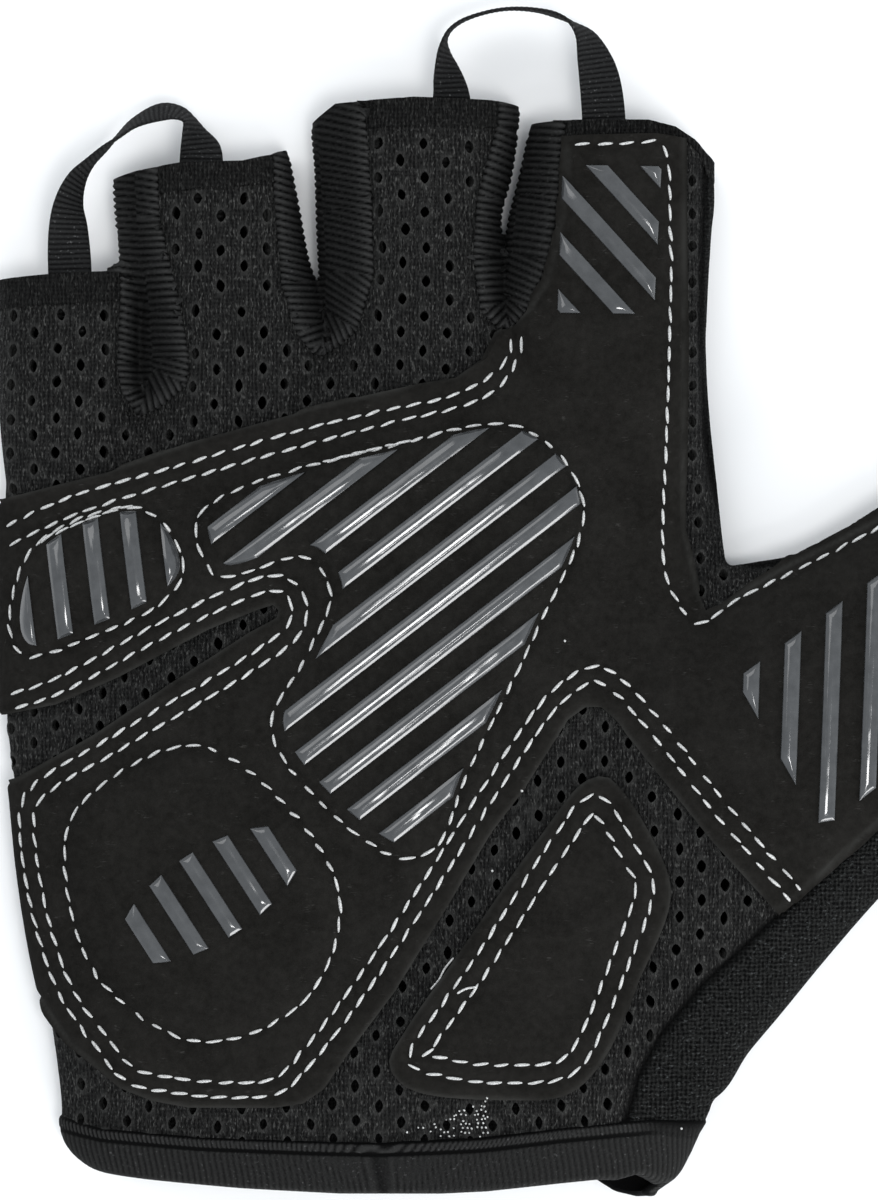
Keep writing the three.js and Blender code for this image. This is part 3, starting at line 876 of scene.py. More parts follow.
def ribMaterial(name, dark, light, flecked):
    # ribs as modelled: their height comes with the mesh
    material, tree, shader = newMaterial(name, 0.8, 0.08)
    ridge = attributeOf(tree, "ridge")
    place = placeInMm(tree)
    fibre = noise(tree, place, 3.2, 3, 0.6)
    relief(tree, shader, fibre, 0.12)
    tone = maths(tree, "MULTIPLY_ADD", fibre, 0.7, maths(tree, "SUBTRACT", ridge, 0.35))
    colour = mixed(tree, between(tree, tone, 0.1, 1.05), dark, light)
    flecks = between(tree, noise(tree, place, 2.2, 2, 0.6), 0.63, 0.76)
    flecks = maths(tree, "MULTIPLY", flecks, maths(tree, "MULTIPLY", ridge, flecked))
    colour = mixed(tree, flecks, colour, (0.09, 0.09, 0.09))
    tree.links.new(colour, shader.inputs["Base Color"])
    return material


def gelMaterial():
    material, tree, shader = newMaterial("greyGel", 0.14, 0.5, Coat_Weight=0.5, Coat_Roughness=0.07)
    place = placeInMm(tree)
    cloud = noise(tree, place, 0.5, 3, 0.55)
    grain = noise(tree, place, 6, 2, 0.5)
    relief(tree, shader, noise(tree, place, 0.35, 0), 0.12)
    tone = maths(tree, "MULTIPLY_ADD", grain, 0.3, cloud)
    colour = mixed(tree, between(tree, tone, 0.4, 0.9), (0.026, 0.0275, 0.029), (0.05, 0.052, 0.054))
    tree.links.new(colour, shader.inputs["Base Color"])
    return material


def threadMaterial():
    material, tree, shader = newMaterial("whiteThread", 0.55, 0.4)
    fibre = noise(tree, placeInMm(tree), 5, 2)
    relief(tree, shader, fibre, 0.08)
    colour = mixed(tree, between(tree, fibre, 0.3, 0.62), (0.22, 0.22, 0.215), (0.58, 0.58, 0.57))
    tree.links.new(colour, shader.inputs["Base Color"])
    return material


meshKnit = knitMaterial("meshKnitCloth", ((0.0032, 0.0032, 0.0032), (0.021, 0.021, 0.0203)), 0.6)
# painted shade: a near-black copy of the knit for the glove's inside and the holes' walls, standing in for
# the shade inside the glove
paintedShadeKnit = knitMaterial("paintedShadeKnit", ((0.0004, 0.0004, 0.0004), (0.003, 0.003, 0.003)), 0)
hemKnit = knitMaterial("hemKnitCloth", ((0.002, 0.002, 0.002), (0.0135, 0.0135, 0.013)), 0.25)
stretchKnit = stretchKnitMaterial()
microSuede = suedeMaterial()
ribKnit = ribMaterial("ribbedKnit", (0.0008, 0.0008, 0.0008), (0.026, 0.026, 0.0255), 0.4)
cuffKnit = ribMaterial("cuffRib", (0.0004, 0.0004, 0.0004), (0.0185, 0.0185, 0.018), 0.6)
tapeWeave = ribMaterial("wovenTape", (0.001, 0.001, 0.0011), (0.0185, 0.0187, 0.0188), 1.5)
greyGel = gelMaterial()
whiteThread = threadMaterial()


# Back of the hand with the gusset round the thumb
def makeBack():
    piece = panel("backStretchKnit", without=[palmSpace, *strips.values(), *hems.values()])
    thinned(piece, cloth["backShare"])
    setAttribute(piece, "seam", seamShade(places(piece)))
    linedWith(piece, stretchKnit, paintedShadeKnit)
    clothWall(piece, cloth["knitWall"], lining=1)
    aboveTable(piece)
    return finishPiece(piece, None, "stretch_knit", "stretch_back")


# Perforated knit of the palm side
def holeCentres():
    ground = surfaceOf(form)
    hidden = inset(suedeOutline, -0.6)
    patch = spline(thenarOutline, 1.5, closed=True)
    centres = []
    for i in range(*perforation["columns"]):
        for j in range(*perforation["rows"]):
            x = perforation["column"] + i * perforation["columnPitch"]
            y = perforation["row"] + (j + (i % 2) / 2) * perforation["rowPitch"]
            # the rows shift half a step on the ring finger, and lean with the cloth
            onRing = float(smoothStep(-60, -57, x) * smoothStep(-34, -37, x) * smoothStep(36, 44, y))
            if abs(x - perforation["edgeColumn"]) < 1.5 and y > 16:
                x = perforation["edgeColumn"]
            else:
                x += 0.35 * math.sin(y / 7 + 1) + dice.normal(0, perforation["scatter"])
            y += (onRing * perforation["rowPitch"] / 2 + 0.3 * math.sin(x / 6)
                  + dice.normal(0, perforation["scatter"]))
            spot, normal = dropOn(ground, x, y)
            if spot is None or normal.z < 0.5 or spot.z < (cloth["seam"] + 1.5) * mm:
                continue
            centres.append((x, y))
    centres = np.array(centres)
    keep = ~inside(centres, hidden) & ~inside(centres, inset(patch, -0.3))
    for outline in stripOutlines.values():
        keep &= depthInside(centres, outline) < -perforation["fromStrip"]
    for outline in hemBands.values():
        keep &= depthInside(centres, outline) < -perforation["fromHem"]
    edge, _ = nearest(centres, seams["borderInner"], False)
    keep &= (edge > perforation["fromBorder"]) & ~inside(centres, borderOutline)
    keep &= depthInside(centres, gussetOutline) < -perforation["fromStrip"]
    return centres[keep]


def punches(centres):
    # one punch, repeated at every hole
    shape, faces = patternOf(bpy.ops.mesh.primitive_cylinder_add, vertices=perforation["sides"],
                             radius=1 * mm, depth=34 * mm)
    shape[:, :2] = np.sign(shape[:, :2]) * np.abs(shape[:, :2]) ** perforation["pointed"]
    copies = []
    for x, y in centres:
        turn = dice.normal(0, 0.13)
        width = perforation["halfWidth"] * dice.uniform(0.88, 1.12)
        height = perforation["halfHeight"] * dice.uniform(0.88, 1.1)
        flat = shape[:, :2] * (width, height)
        flat = flat @ np.array([[math.cos(turn), math.sin(turn)], [-math.sin(turn), math.cos(turn)]])
        copies.append(np.column_stack([flat + (x, y), shape[:, 2] + cloth["seam"] + 18.5]))
    piece = repeated("punches", copies, faces)
    asCutter(piece)
    return piece


def makePalmKnit():
    centres = holeCentres()
    piece = panel("palmMeshKnit", within=[palmSpace],
                  without=[*strips.values(), *hems.values(), punches(centres)])
    thinned(piece, cloth["palmShare"])
    linedWith(piece, meshKnit, paintedShadeKnit)
    tree = KDTree(len(centres))
    for n, (x, y) in enumerate(centres):
        tree.insert((x, y, 0), n)
    tree.balance()
    points = places(piece)
    gaps = np.empty(len(points))
    for n, (x, y, _) in enumerate(points):
        spot, _, _ = tree.find((x, y, 0))
        gaps[n] = math.hypot((x - spot[0]) / perforation["halfWidth"],
                             (y - spot[1]) / perforation["halfHeight"])
    rim = bell(gaps - 1, perforation["rimWidth"])
    setAttribute(piece, "rim", rim)
    setAttribute(piece, "seam", seamShade(points))
    skin = directions(piece)
    clothWall(piece, cloth["knitWall"], lining=1)
    outer = outerLayer(piece, skin)
    points = places(piece)
    points[outer] += skin * (perforation["rim"] * rim)[:, None]
    setPlaces(piece, points)
    print("palm knit with", len(centres), "holes")
    return finishPiece(piece, None, "mesh_knit", "palm_mesh", angle=50)


# Suede palm and thenar patch, each with its padded or flat relief and its stitch grooves
suede = {
    "padRise": 1.4,
    "padSoftness": 1.5,
    "groove": 0.38,
    "grooveWidth": 0.5,
    "edgeRound": 0.45,
    "edgeWidth": 0.4,
    "edgeLightWidth": 0.35,
    "sideThinner": 0.5,
    "sideRange": 4.5,
}


edgeRow = spline([
    (-76.2, -15.3), (-71.5, -13.9), (-66.2, -11.5), (-58.7, -7.4), (-51.4, -3.6), (-43.8, -0.1),
    (-38.9, 1.4), (-37.2, 0.3), (-36.7, -2), (-37.5, -3.8), (-41.7, -7), (-49.1, -11.6), (-56.4, -15.8),
    (-63.8, -20.2), (-69.2, -23.2), (-72.1, -25.2), (-74.3, -27.3), (-75.1, -30), (-75.1, -33),
    (-74.3, -39.1), (-72.6, -46.8), (-70, -54.2), (-67.2, -58.8), (-64.4, -62.2), (-61.5, -66),
    (-58.8, -67.8), (-55.4, -68.5), (-45.2, -69.4), (-38.4, -68.7), (-36.1, -66.9), (-30.7, -60.5),
    (-24.4, -51.8), (-16, -39.2), (-8, -26.7), (0.1, -15.1), (4, -11.9), (5.8, -11.3), (7.5, -12.3),
    (11.8, -16.7), (21.8, -29.3), (30.9, -39.8), (33.2, -42.6),
], 0.5)
thenarRow = spline([
    (5.5, -27.2), (2.7, -28.7), (1.1, -31.1), (-1.7, -35.1), (-6.6, -42.7), (-11.9, -50.8),
    (-16.7, -57.5), (-20.2, -62.7), (-19.9, -65.1), (-16.2, -66.2), (-11.3, -67.1), (-1.7, -67.2),
    (1.7, -66.5), (4.1, -64.5), (6, -61.2), (9.8, -51.8), (13.4, -42.1), (13.6, -38.8), (11.8, -35.4),
    (7.4, -28.3),
], 0.5, closed=True)
stitchRows = {
    "edge": edgeRow,
    "edgeInner": inset(edgeRow, 2.1, closed=False),
    "knuckle": spline([
        (-6, 36.9), (-6.3, 34.6), (-7.5, 32.7), (-10.1, 30.6), (-15, 28.3), (-25, 26.2), (-37, 23.3),
        (-52, 18.9), (-67.5, 14.5), (-77.5, 10.2),
    ], 0.5),
    "knuckleInner": spline([
        (-4.4, 37.1), (-5, 34.4), (-7.9, 29.7), (-12.8, 27.1), (-21, 25.2), (-37, 21), (-52, 16.7),
        (-67, 12), (-77, 7.5),
    ], 0.5),
    "indexTop": spline([(2.2, 63.7), (8, 63.7), (14.6, 64.2)], 0.5),
    "indexSide": spline([
        (15, 63.9), (15.8, 61), (16, 54), (16.2, 46), (15.9, 36), (15.5, 22), (15.1, 12), (15.1, 6),
        (15.6, 3), (17, -0.1), (18.9, -2.8), (20.3, -3.4), (25.3, -0.1), (35.1, 4.8), (44.9, 9.9),
        (56, 16.6),
    ], 0.5),
    "thenar": thenarRow,
    "thenarInner": inset(thenarRow, 2.5),
    "pinkyPad": spline(padOutlines["pinky"], 0.5, closed=True),
    "centrePad": spline(padOutlines["centre"], 0.5, closed=True),
    "heelPad": spline(padOutlines["heel"], 0.5, closed=True),
}
closedRows = {"thenar", "thenarInner", "pinkyPad", "centrePad", "heelPad"}


def suedeRelief(points, outline):
    rise = np.zeros(len(points))
    for name in ("pinkyPad", "centrePad", "heelPad"):
        depth = depthInside(points, stitchRows[name][::3])
        rise += np.where(depth > 0, suede["padRise"] * (1 - np.exp(-depth / suede["padSoftness"])), 0)
    groove = np.zeros(len(points))
    for name, row in stitchRows.items():
        gap, _ = nearest(points, row[::3], name in closedRows)
        groove = np.maximum(groove, suede["groove"] * bell(gap, suede["grooveWidth"]))
    edge, _ = nearest(points, outline, True)
    return rise - groove - suede["edgeRound"] * bell(edge, suede["edgeWidth"])


def makeSuede(name, outline, without, node):
    piece = panel(name, within=[palmSpace, prism(outline, cloth["seam"] + 0.6)], without=without)
    setPlaces(piece, places(piece) + directions(piece) * cloth["suedeBase"])
    skin = directions(piece)
    clothWall(piece, cloth["suedeWall"], outwards=True)
    points = places(piece)
    outer = outerLayer(piece, skin)
    atSide = 1 - smoothStep(cloth["seam"], cloth["seam"] + suede["sideRange"], points[outer][:, 2])
    rise = suedeRelief(points[outer], outline) - suede["sideThinner"] * atSide
    points[outer] += skin * rise[:, None]
    setPlaces(piece, points)
    edge, _ = nearest(points, outline, True)
    # the rim attribute marks the cut edge for the painted edge highlight
    setAttribute(piece, "rim", bell(edge, suede["edgeLightWidth"]))
    finishPiece(piece, microSuede, "microsuede", node, angle=55)
    return piece


def strandGap(path, pitch):
    return np.abs(((path / pitch) % 1) - 0.5) * 2


# Ribbed strips round the forks of the fingers
strip = {
    "pitch": 0.97,
    "rib": 0.4,
    "lift": 0.15,
    "wall": 1.2,
    "toothWidth": 0.9,
    "tooth": 0.3,
    "shine": 1.7,  # width of the light edge where the ribs turn into the seam
    "seamDepth": 0.4,
    "seamWidth": 0.25,
    "lean": {"PinkyRing": 0.2, "RingMiddle": 0.3, "MiddleIndex": 0.04},
    "waver": 0.25,
    "waverLength": 3.1,
    "sideStart": (-62.4, 62),
    "flatEnd": (0.1, 1.3),  # the ribs flatten towards the finger's opening
}


def makeStrip(name, outline, node):
    piece = panel("fourchette" + name, within=[strips[name]])
    applyModifier(piece, "SUBSURF", subdivision_type="SIMPLE", levels=1, render_levels=1)
    points, normals = places(piece), directions(piece)
    path = [strip["sideStart"], *outline[:seams["sewn"]]] if name == "PinkyRing" else outline
    gap, along = nearest(points, path, False)
    lean = strip["lean"][name] * gap + strip["waver"] * np.sin(along / strip["waverLength"])
    ridge = 1 - strandGap(along - lean, strip["pitch"]) ** 1.5
    edge = bell(gap, strip["toothWidth"])
    height = strip["lift"] + strip["rib"] * (ridge - 0.5) + strip["tooth"] * edge * ridge
    height -= strip["seamDepth"] * bell(gap, strip["seamWidth"])
    toEnd, _ = nearest(points, openEnds, True)
    height *= smoothStep(*strip["flatEnd"], toEnd)
    setPlaces(piece, points + normals * height[:, None])
    shine = 0.45 + 0.75 * bell(gap, strip["shine"])
    setAttribute(piece, "ridge", ridge * shine)
    clothWall(piece, strip["wall"])
    return finishPiece(piece, ribKnit, "rib_knit", node, angle=60)


# Hems round the finger openings
hem = {"outside": 0.35, "inside": 1.7}


def makeHem(name):
    piece = panel("hem" + name, within=[hems[name]], without=strips.values())
    normals = directions(piece)
    lift = hem["outside"] * (0.2 + 0.8 * np.abs(normals[:, 2]))
    setPlaces(piece, places(piece) + normals * lift[:, None])
    clothWall(piece, hem["outside"] + hem["inside"])
    aboveTable(piece)
    return finishPiece(piece, hemKnit, "mesh_knit")


makeBack()
makePalmKnit()
print("knit done")
makeSuede("palmSuede", suedeOutline, [*strips.values(), *hems.values()], "palm_suede")
makeSuede("thenarPatch", spline(thenarOutline, 1.5, closed=True).tolist(), [], "thenar_patch")
print("suede done")
stripNodes = {
    "PinkyRing": "fourchette_pinky_ring",
    "RingMiddle": "fourchette_ring_middle",
    "MiddleIndex": "fourchette_middle_index",
}
for name, outline in stripOutlines.items():
    makeStrip(name, outline, stripNodes[name])
for name in hemBands:
    makeHem(name)
print("strips and hems done")


# Cuff binding, rolled round the wrist's edge
cuff = {
    "ribPitch": 0.85,
    "rib": 0.1,
    "outside": 0.9,
    "inside": 2.1,
    "groove": 0.35,
    "samplesPerRib": 6,
    "girth": 202,
    "wrist": 8,  # the palm's cross-sections that the binding follows start here
    "edgeSection": 10,
    "rowStep": 0.25,
    "braid": (0.05, 0.08, 0.2, 0.24),  # these are shares of the way down the outside
    "grooveAt": 0.245,
    "ribsFrom": (0.26, 0.32),
    "grooveWidth": 0.03,
    "grooveCrease": 0.028,
    "edgeCrease": 0.035,
    "rollAt": 0.93,
    "braidPerRib": 1.3,
    "braidSlant": 3,
    "plainFrom": 9,  # beside the thumb gusset the braid runs out
    "plainOver": 6,
    "palmEdge": [
        (-66, -78.5), (-62.6, -80.6), (-56.7, -81.2), (-44, -82.2), (-30, -82.9), (-16, -82.9),
        (-9.9, -82.6), (-1.1, -81.6), (3.9, -81.1), (6.5, -81.2), (9, -80.4), (11.3, -81.3),
        (13.2, -82.1), (16, -81.6),
    ],
    "backEdge": [
        (-66, -78.5), (-62.6, -80.4), (-44, -81.9), (-16, -82.6), (-1, -81.7), (4.5, -81.6), (7.4, -82.9),
        (10, -83.9), (12.6, -84.4), (15.1, -84.1), (17.6, -82),
    ],
}


def sectionNormals(row, angles):
    ring = sectionRing(row, 0, angles)
    outer = sectionRing(row, 1, angles)
    away = outer - ring
    away[:, 1] = 0
    lengths = np.linalg.norm(away, axis=1)
    away[lengths < 1e-6] = (0, 0, -1)
    return away / np.maximum(lengths, 1e-6)[:, None]


def cuffProfile():
    # down the outside, round the roll and up the inside: share of the way down, offset from the skin
    rollAt = cuff["rollAt"]
    down = [(t, cuff["outside"] * float(smoothStep(0.0, 0.08, t)) - 0.5 * bell(t, 0.04))
            for t in np.linspace(0, rollAt, 44)[:-1]]
    roll = [(rollAt + 0.09 * math.sin(a), -0.6 + 1.5 * math.cos(a))
            for a in np.linspace(0.2, math.pi - 0.2, 9)]
    up = [(t, -cuff["inside"]) for t in np.linspace(0.95, 0.1, 10)]
    return down + roll + up


def makeCuff():
    sections = handSections["palm"]
    rows = spline(sections[cuff["wrist"]:], cuff["rowStep"] * math.sqrt(2), measured=4)
    samples = int(cuff["girth"] / cuff["ribPitch"]) * cuff["samplesPerRib"]
    # from the middle of the back, over the palm side, and round to the back again
    angles = np.sort((evenAngles(samples) + math.pi / 2) % (2 * math.pi)) - math.pi / 2
    stack = np.array([sectionRing(row, 0, angles) for row in rows])
    away = sectionNormals(rows[len(rows) // 2], angles)
    top = sectionRing(sections[cuff["edgeSection"]], 0, angles)
    last = stack[-1]
    palmShare = smoothStep(cloth["seam"] - 1.5, cloth["seam"] + 1.5, last[:, 2])
    ends = [np.interp(last[:, 0], *np.array(cuff[key]).T) for key in ("palmEdge", "backEdge")]
    endY = ends[0] * palmShare + ends[1] * (1 - palmShare)
    startY = np.interp(top[:, 0], *np.array(cuffLine).T)
    columns = np.arange(samples)
    rises, full, fades, runsOut = cuff["braid"]
    rings, ridges = [], []
    for t, lift in cuffProfile():
        y = startY + (endY - startY) * t
        level = [np.interp(-y[c], -stack[:, c, 1], np.arange(len(rows))) for c in columns]
        below = np.minimum(np.array(level).astype(int), len(rows) - 2)
        part = (level - below)[:, None]
        ring = stack[below, columns] * (1 - part) + stack[below + 1, columns] * part
        steps = np.linalg.norm(np.roll(ring, -1, 0) - ring, axis=1)
        run = np.cumsum(steps) - steps
        phase = (run - run[samples // 2]) / cuff["ribPitch"]
        ridge = 1 - strandGap(phase, 1.0) ** 1.3
        shown = lift > -1
        plain = smoothStep(cuff["plainFrom"], cuff["plainFrom"] + cuff["plainOver"], ring[:, 0])
        braid = shown * float(smoothStep(rises, full, t) * (1 - smoothStep(fades, runsOut, t))) * (1 - plain)
        ribs = shown * np.maximum(float(smoothStep(*cuff["ribsFrom"], t)),
                                  0.6 * float(smoothStep(rises, fades, t)) * plain)
        zigzag = 0.5 + 0.5 * np.sin(2 * math.pi * (cuff["braidPerRib"] * phase + cuff["braidSlant"] * t))
        # painted shade: the tone darkens in the crease along the binding's top edge and in the groove below
        # the braid
        crease = shown * bell(t, cuff["edgeCrease"]) * (1 - 0.7 * plain)
        fromGroove = t - cuff["grooveAt"]
        crease += shown * bell(fromGroove, cuff["grooveCrease"]) * (0.25 + 0.7 * (1 - zigzag)) * (1 - plain)
        # it lies flatter at the two sides
        flatter = 0.25 + 0.75 * np.abs(away[:, 2])
        offset = lift * flatter if lift > 0 or (shown and t < 0.5) else lift
        offset += ribs * cuff["rib"] * (ridge - 0.5) + braid * cuff["rib"] * (zigzag - 0.5)
        groove = cuff["groove"] * shown * bell(fromGroove, cuff["grooveWidth"])
        offset -= groove * (flatter - 0.2) * (1 - plain)
        ring += away * offset[:, None]
        ring[:, 1] = y
        ring[:, 2] = np.maximum(ring[:, 2], 0)
        rings.append(ring)
        tone = braid * (0.1 + 1.3 * zigzag) + ribs * (0.25 + 0.6 * ridge)
        # the rib ends catch the light where the binding rolls under
        tone += shown * 0.5 * ridge * float(smoothStep(0.88, 1.0, t))
        ridges.append(tone - 0.8 * crease)
    piece = newPiece("cuffBinding", np.vstack(rings), gridFaces(len(rings), samples, closedRows=True))
    setAttribute(piece, "ridge", np.concatenate(ridges))
    faceOutwards(piece)
    return finishPiece(piece, cuffKnit, "rib_knit", "cuff_binding", angle=70)


makeCuff()
print("cuff done")


# Pull loops of flat woven tape
tape = {"width": 6.1, "thickness": 0.55, "ribPitch": 0.7, "rib": 0.07, "samplesPerRib": 4, "sides": 28}
# places of the middle of the tape, and its turn about its own run
loopRows = {
    "PinkyRing": [
        (-68.1, 36, 9.5, 0), (-68.1, 41, 9.6, 0), (-68.1, 46, 9.6, 5), (-68.3, 52, 9.6, 30),
        (-68.2, 55.7, 9.5, 53), (-67.1, 59.1, 9.3, 70), (-65.3, 61.5, 9.2, 84), (-63.1, 63.6, 9.1, 90),
        (-61.4, 65.1, 9.1, 99), (-59, 67.1, 9.1, 108), (-55.2, 68.6, 9.2, 118), (-52.8, 68.4, 9.3, 112),
        (-51.2, 67.3, 9.4, 106), (-50.3, 65.3, 9.7, 128), (-49.7, 63.2, 10, 158), (-49.6, 61, 10.1, 178),
        (-49.6, 56, 10.1, 180), (-49.6, 50, 10.1, 180),
    ],
    "MiddleIndex": [
        (-14.4, 60, 9.8, 0), (-14.4, 66, 9.8, 8), (-14.5, 71, 9.7, 34), (-14.8, 73, 9.6, 44),
        (-15.1, 75, 9.5, 58), (-15.4, 77.3, 9.3, 76), (-15.3, 78.9, 9.2, 88), (-14.7, 80.1, 9.1, 92),
        (-13.2, 81.3, 9.1, 94), (-10, 82.5, 9.1, 96), (-6.4, 83.1, 9.1, 96), (-2.5, 82.9, 9.1, 94),
        (0.3, 82.2, 9.1, 92), (2.3, 81.2, 9.2, 98), (4.4, 79.2, 9.4, 120), (5.75, 75.6, 9.7, 147),
        (6.45, 72.2, 9.9, 165), (6.9, 67.5, 10, 178), (7, 61, 10, 180), (7, 56, 10, 180),
    ],
}


def makeLoop(name, node):
    rows = spline(loopRows[name], tape["ribPitch"] / tape["samplesPerRib"], measured=3)
    spine, turn = rows[:, :3], np.radians(rows[:, 3])[:, None]
    along = np.gradient(spine, axis=0)
    along /= np.linalg.norm(along, axis=1)[:, None]
    side = np.column_stack([along[:, 1], -along[:, 0], np.zeros(len(along))])
    side /= np.linalg.norm(side, axis=1)[:, None]
    flat = side * np.cos(turn) + np.cross(along, side) * np.sin(turn)
    thick = np.cross(along, flat)
    angles = np.linspace(0, 2 * math.pi, tape["sides"], endpoint=False)
    across = np.sign(np.cos(angles)) * np.abs(np.cos(angles)) ** 0.4
    up = np.sign(np.sin(angles)) * np.abs(np.sin(angles)) ** 0.6
    run = np.arange(len(rows)) / tape["samplesPerRib"]
    ridge = 1 - strandGap(run[:, None] + 0.06 * np.sin(7 * across), 1.0) ** 1.4
    height = tape["thickness"] / 2 + tape["rib"] * (ridge - 0.5)
    points = spine[:, None] + flat[:, None] * (across * tape["width"] / 2)[None, :, None]
    points = points + thick[:, None] * (up[None, :] * height)[..., None]
    sides = tape["sides"]
    faces = gridFaces(len(rows), sides)
    faces += [list(range(sides)), list(range((len(rows) - 1) * sides, len(rows) * sides))]
    piece = newPiece("pullLoop" + name, points.reshape(-1, 3), faces)
    setAttribute(piece, "ridge", ridge.ravel())
    faceOutwards(piece)
    return finishPiece(piece, tapeWeave, "webbing", node, angle=60)


makeLoop("PinkyRing", "pull_loop_pinky_ring")
makeLoop("MiddleIndex", "pull_loop_middle_index")
print("loops done")


# What lies on the suede takes its height from the suede itself
suedeGrounds = [surfaceOf(bpy.data.objects[name]) for name in ("palmSuede", "thenarPatch")]


def onSuede(x, y):
    for ground in suedeGrounds:
        spot, normal = dropOn(ground, x, y)
        if spot is not None and normal.z > 0.12:
            return spot.z / mm, normal
    return None, None


# Gel bars
bar = {
    "width": 2.35,
    "sunk": 0.15,
    "foot": 0.15,  # the underside lies this much lower still
    "shortest": 0.6,
    "inset": 1.0,
    "shift": (0.6, 0.55),  # the bars lie closer to the stitches at the upper right
    "rowStep": 0.4,
    "columnStep": 0.18,
    "edgeSteps": (0, 0.05, 0.12, 0.24, 0.36, 0.45, 0.62, 0.85),
    # height over the suede at each distance from the bar's edge
    "profile": (
        (0, -0.15), (0.05, 0.3), (0.12, 0.36), (0.36, 0.55), (0.45, 0.62), (0.62, 0.69), (0.85, 0.76),
        (1.17, 0.8),
    ),
}


def padZone(name):
    return inset(spline(padOutlines[name], 1.0, closed=True), -bar["inset"]) + bar["shift"]


def ellipse(centre, radii, tilt):
    angles, tilt = np.linspace(0, 2 * math.pi, 40, endpoint=False), math.radians(tilt)
    across, up = radii[0] * np.cos(angles), radii[1] * np.sin(angles)
    return np.column_stack([
        centre[0] + across * math.cos(tilt) - up * math.sin(tilt),
        centre[1] + across * math.sin(tilt) + up * math.cos(tilt),
    ])


gelZones = {
    "palm": {"zone": padZone("centre"), "angle": 37.6, "first": 36.5, "pitch": -5.37, "count": 10},
    "pinky": {"zone": padZone("pinky"), "angle": 97, "first": 73.9, "pitch": -5.41, "count": 5},
    "index": {
        "zone": [(0.2, 40), (1, 60.8), (14.9, 60.6), (13.8, 39.8)],
        "angle": -47.8, "first": 50.6, "pitch": -5.57, "count": 5,
    },
    "thumb": {
        "zone": [(25, -11), (46, 4.2), (54, 11), (58, 7.5), (65, -9), (60, -13.4), (45, -26),
                 (39, -30.7), (36.4, -31.1)],
        "angle": 87.7, "first": -27.7, "pitch": -5.62, "count": 7,
    },
    "heel": {
        "zone": ellipse((-48, -41), (14.6, 6.4), 33),
        "angle": 123, "first": 73.4, "pitch": -5.4, "count": 5,
    },
}


def crossing(zone, along, across, offset):
    # the longest stretch of one line that lies inside the zone
    zone = np.array(zone, float)
    side = zone @ across - offset
    run = zone @ along
    nextSide, nextRun = np.roll(side, -1), np.roll(run, -1)
    hits = (side > 0) != (nextSide > 0)
    t = side[hits] / (side[hits] - nextSide[hits])
    found = np.sort(run[hits] + t * (nextRun[hits] - run[hits]))
    pairs = [(b - a, a, b) for a, b in zip(found[::2], found[1::2])]
    return max(pairs)[1:] if pairs else None


def bevelled(length, step):
    # places along a length, close together near both ends
    edge = np.array(bar["edgeSteps"]) * min(1, length / 2 / (bar["edgeSteps"][-1] + step))
    middle = np.linspace(edge[-1], length - edge[-1], max(3, int(length / step)))[1:-1]
    return np.concatenate([edge, middle, length - edge[::-1]])


def evenGround(points, along, across):
    # the suede's own unevenness is smoothed away under a bar
    heights = np.array([onSuede(x, y)[0] or np.nan for x, y in points])
    found = ~np.isnan(heights)
    run, side = points @ along, points @ across
    run = (run - run.mean()) / max(1, np.ptp(run))
    side -= side.mean()
    terms = np.column_stack([np.ones_like(run), run, run**2, run**3, run**4, side, side * run])
    weights, _, _, _ = np.linalg.lstsq(terms[found], heights[found], rcond=None)
    return terms @ weights


def makeBar(name, node, zone, angle, offset):
    turn = math.radians(angle)
    along = np.array([math.cos(turn), math.sin(turn)])
    across = np.array([-math.sin(turn), math.cos(turn)])
    half = bar["width"] / 2
    fine = [s for s in np.linspace(-half, half, 47)
            if (hit := crossing(zone, along, across, offset + s)) and hit[1] - hit[0] > bar["shortest"]]
    columns = fine[0] + bevelled(fine[-1] - fine[0], bar["columnStep"])
    ends = np.array([crossing(zone, along, across, offset + s) for s in columns])
    lengths = ends[:, 1] - ends[:, 0]
    run = bevelled(lengths.max(), bar["rowStep"])
    rows = len(run)
    run = ends[None, :, 0] + (run / run[-1])[:, None] * lengths[None, :]
    flat = run[..., None] * along + (offset + columns)[None, :, None] * across
    edge = np.vstack([flat[0], flat[1:-1, -1], flat[-1, ::-1], flat[-2:0:-1, 0]])
    points = flat.reshape(-1, 2)
    gap, _ = nearest(points, edge, True)
    rise = np.interp(gap, *np.array(bar["profile"]).T)
    ground = evenGround(points, along, across)
    top = np.column_stack([points, ground + rise])
    under = np.column_stack([points, ground - bar["sunk"] - bar["foot"]])
    count = len(columns)
    faces = gridFaces(rows, count, closedColumns=False)
    below = [[v + rows * count for v in face[::-1]] for face in faces]
    rim = list(range(count)) + [r * count + count - 1 for r in range(1, rows)]
    rim += [(rows - 1) * count + c for c in range(count - 2, -1, -1)]
    rim += [r * count for r in range(rows - 2, 0, -1)]
    walls = [[a, a + rows * count, b + rows * count, b] for a, b in zip(rim, rim[1:] + rim[:1])]
    piece = newPiece(name, np.vstack([top, under]), faces + below + walls)
    faceOutwards(piece)
    return finishPiece(piece, greyGel, "gel", node, angle=50)


for area, layout in gelZones.items():
    for n in range(layout["count"]):
        makeBar("gelStripe%s%d" % (area.capitalize(), n + 1), "gel_stripe_%s_%d" % (area, n + 1),
                layout["zone"], layout["angle"], layout["first"] + n * layout["pitch"])
print("gel bars done")


# Stitches
stitch = {
    "length": 2.4,
    "width": 0.45,
    "period": 2.85,
    "slant": 6,
    "bow": 0.12,
    "lift": 0.1,
    "sides": 8,
    "blunt": 0.85,
    "unevenPeriod": 0.07,
    "unevenSlant": 3,
    "tackPeriod": 0.8,  # shares of the other stitches' period and thickness
    "tackThickness": 0.9,
}
backtackRows = [
    [(-72.7, 7.9), (-66, 10.9), (-59.1, 13.3)],
    [(-35, 18.4), (-28, 20.4), (-20.4, 22.2)],
]


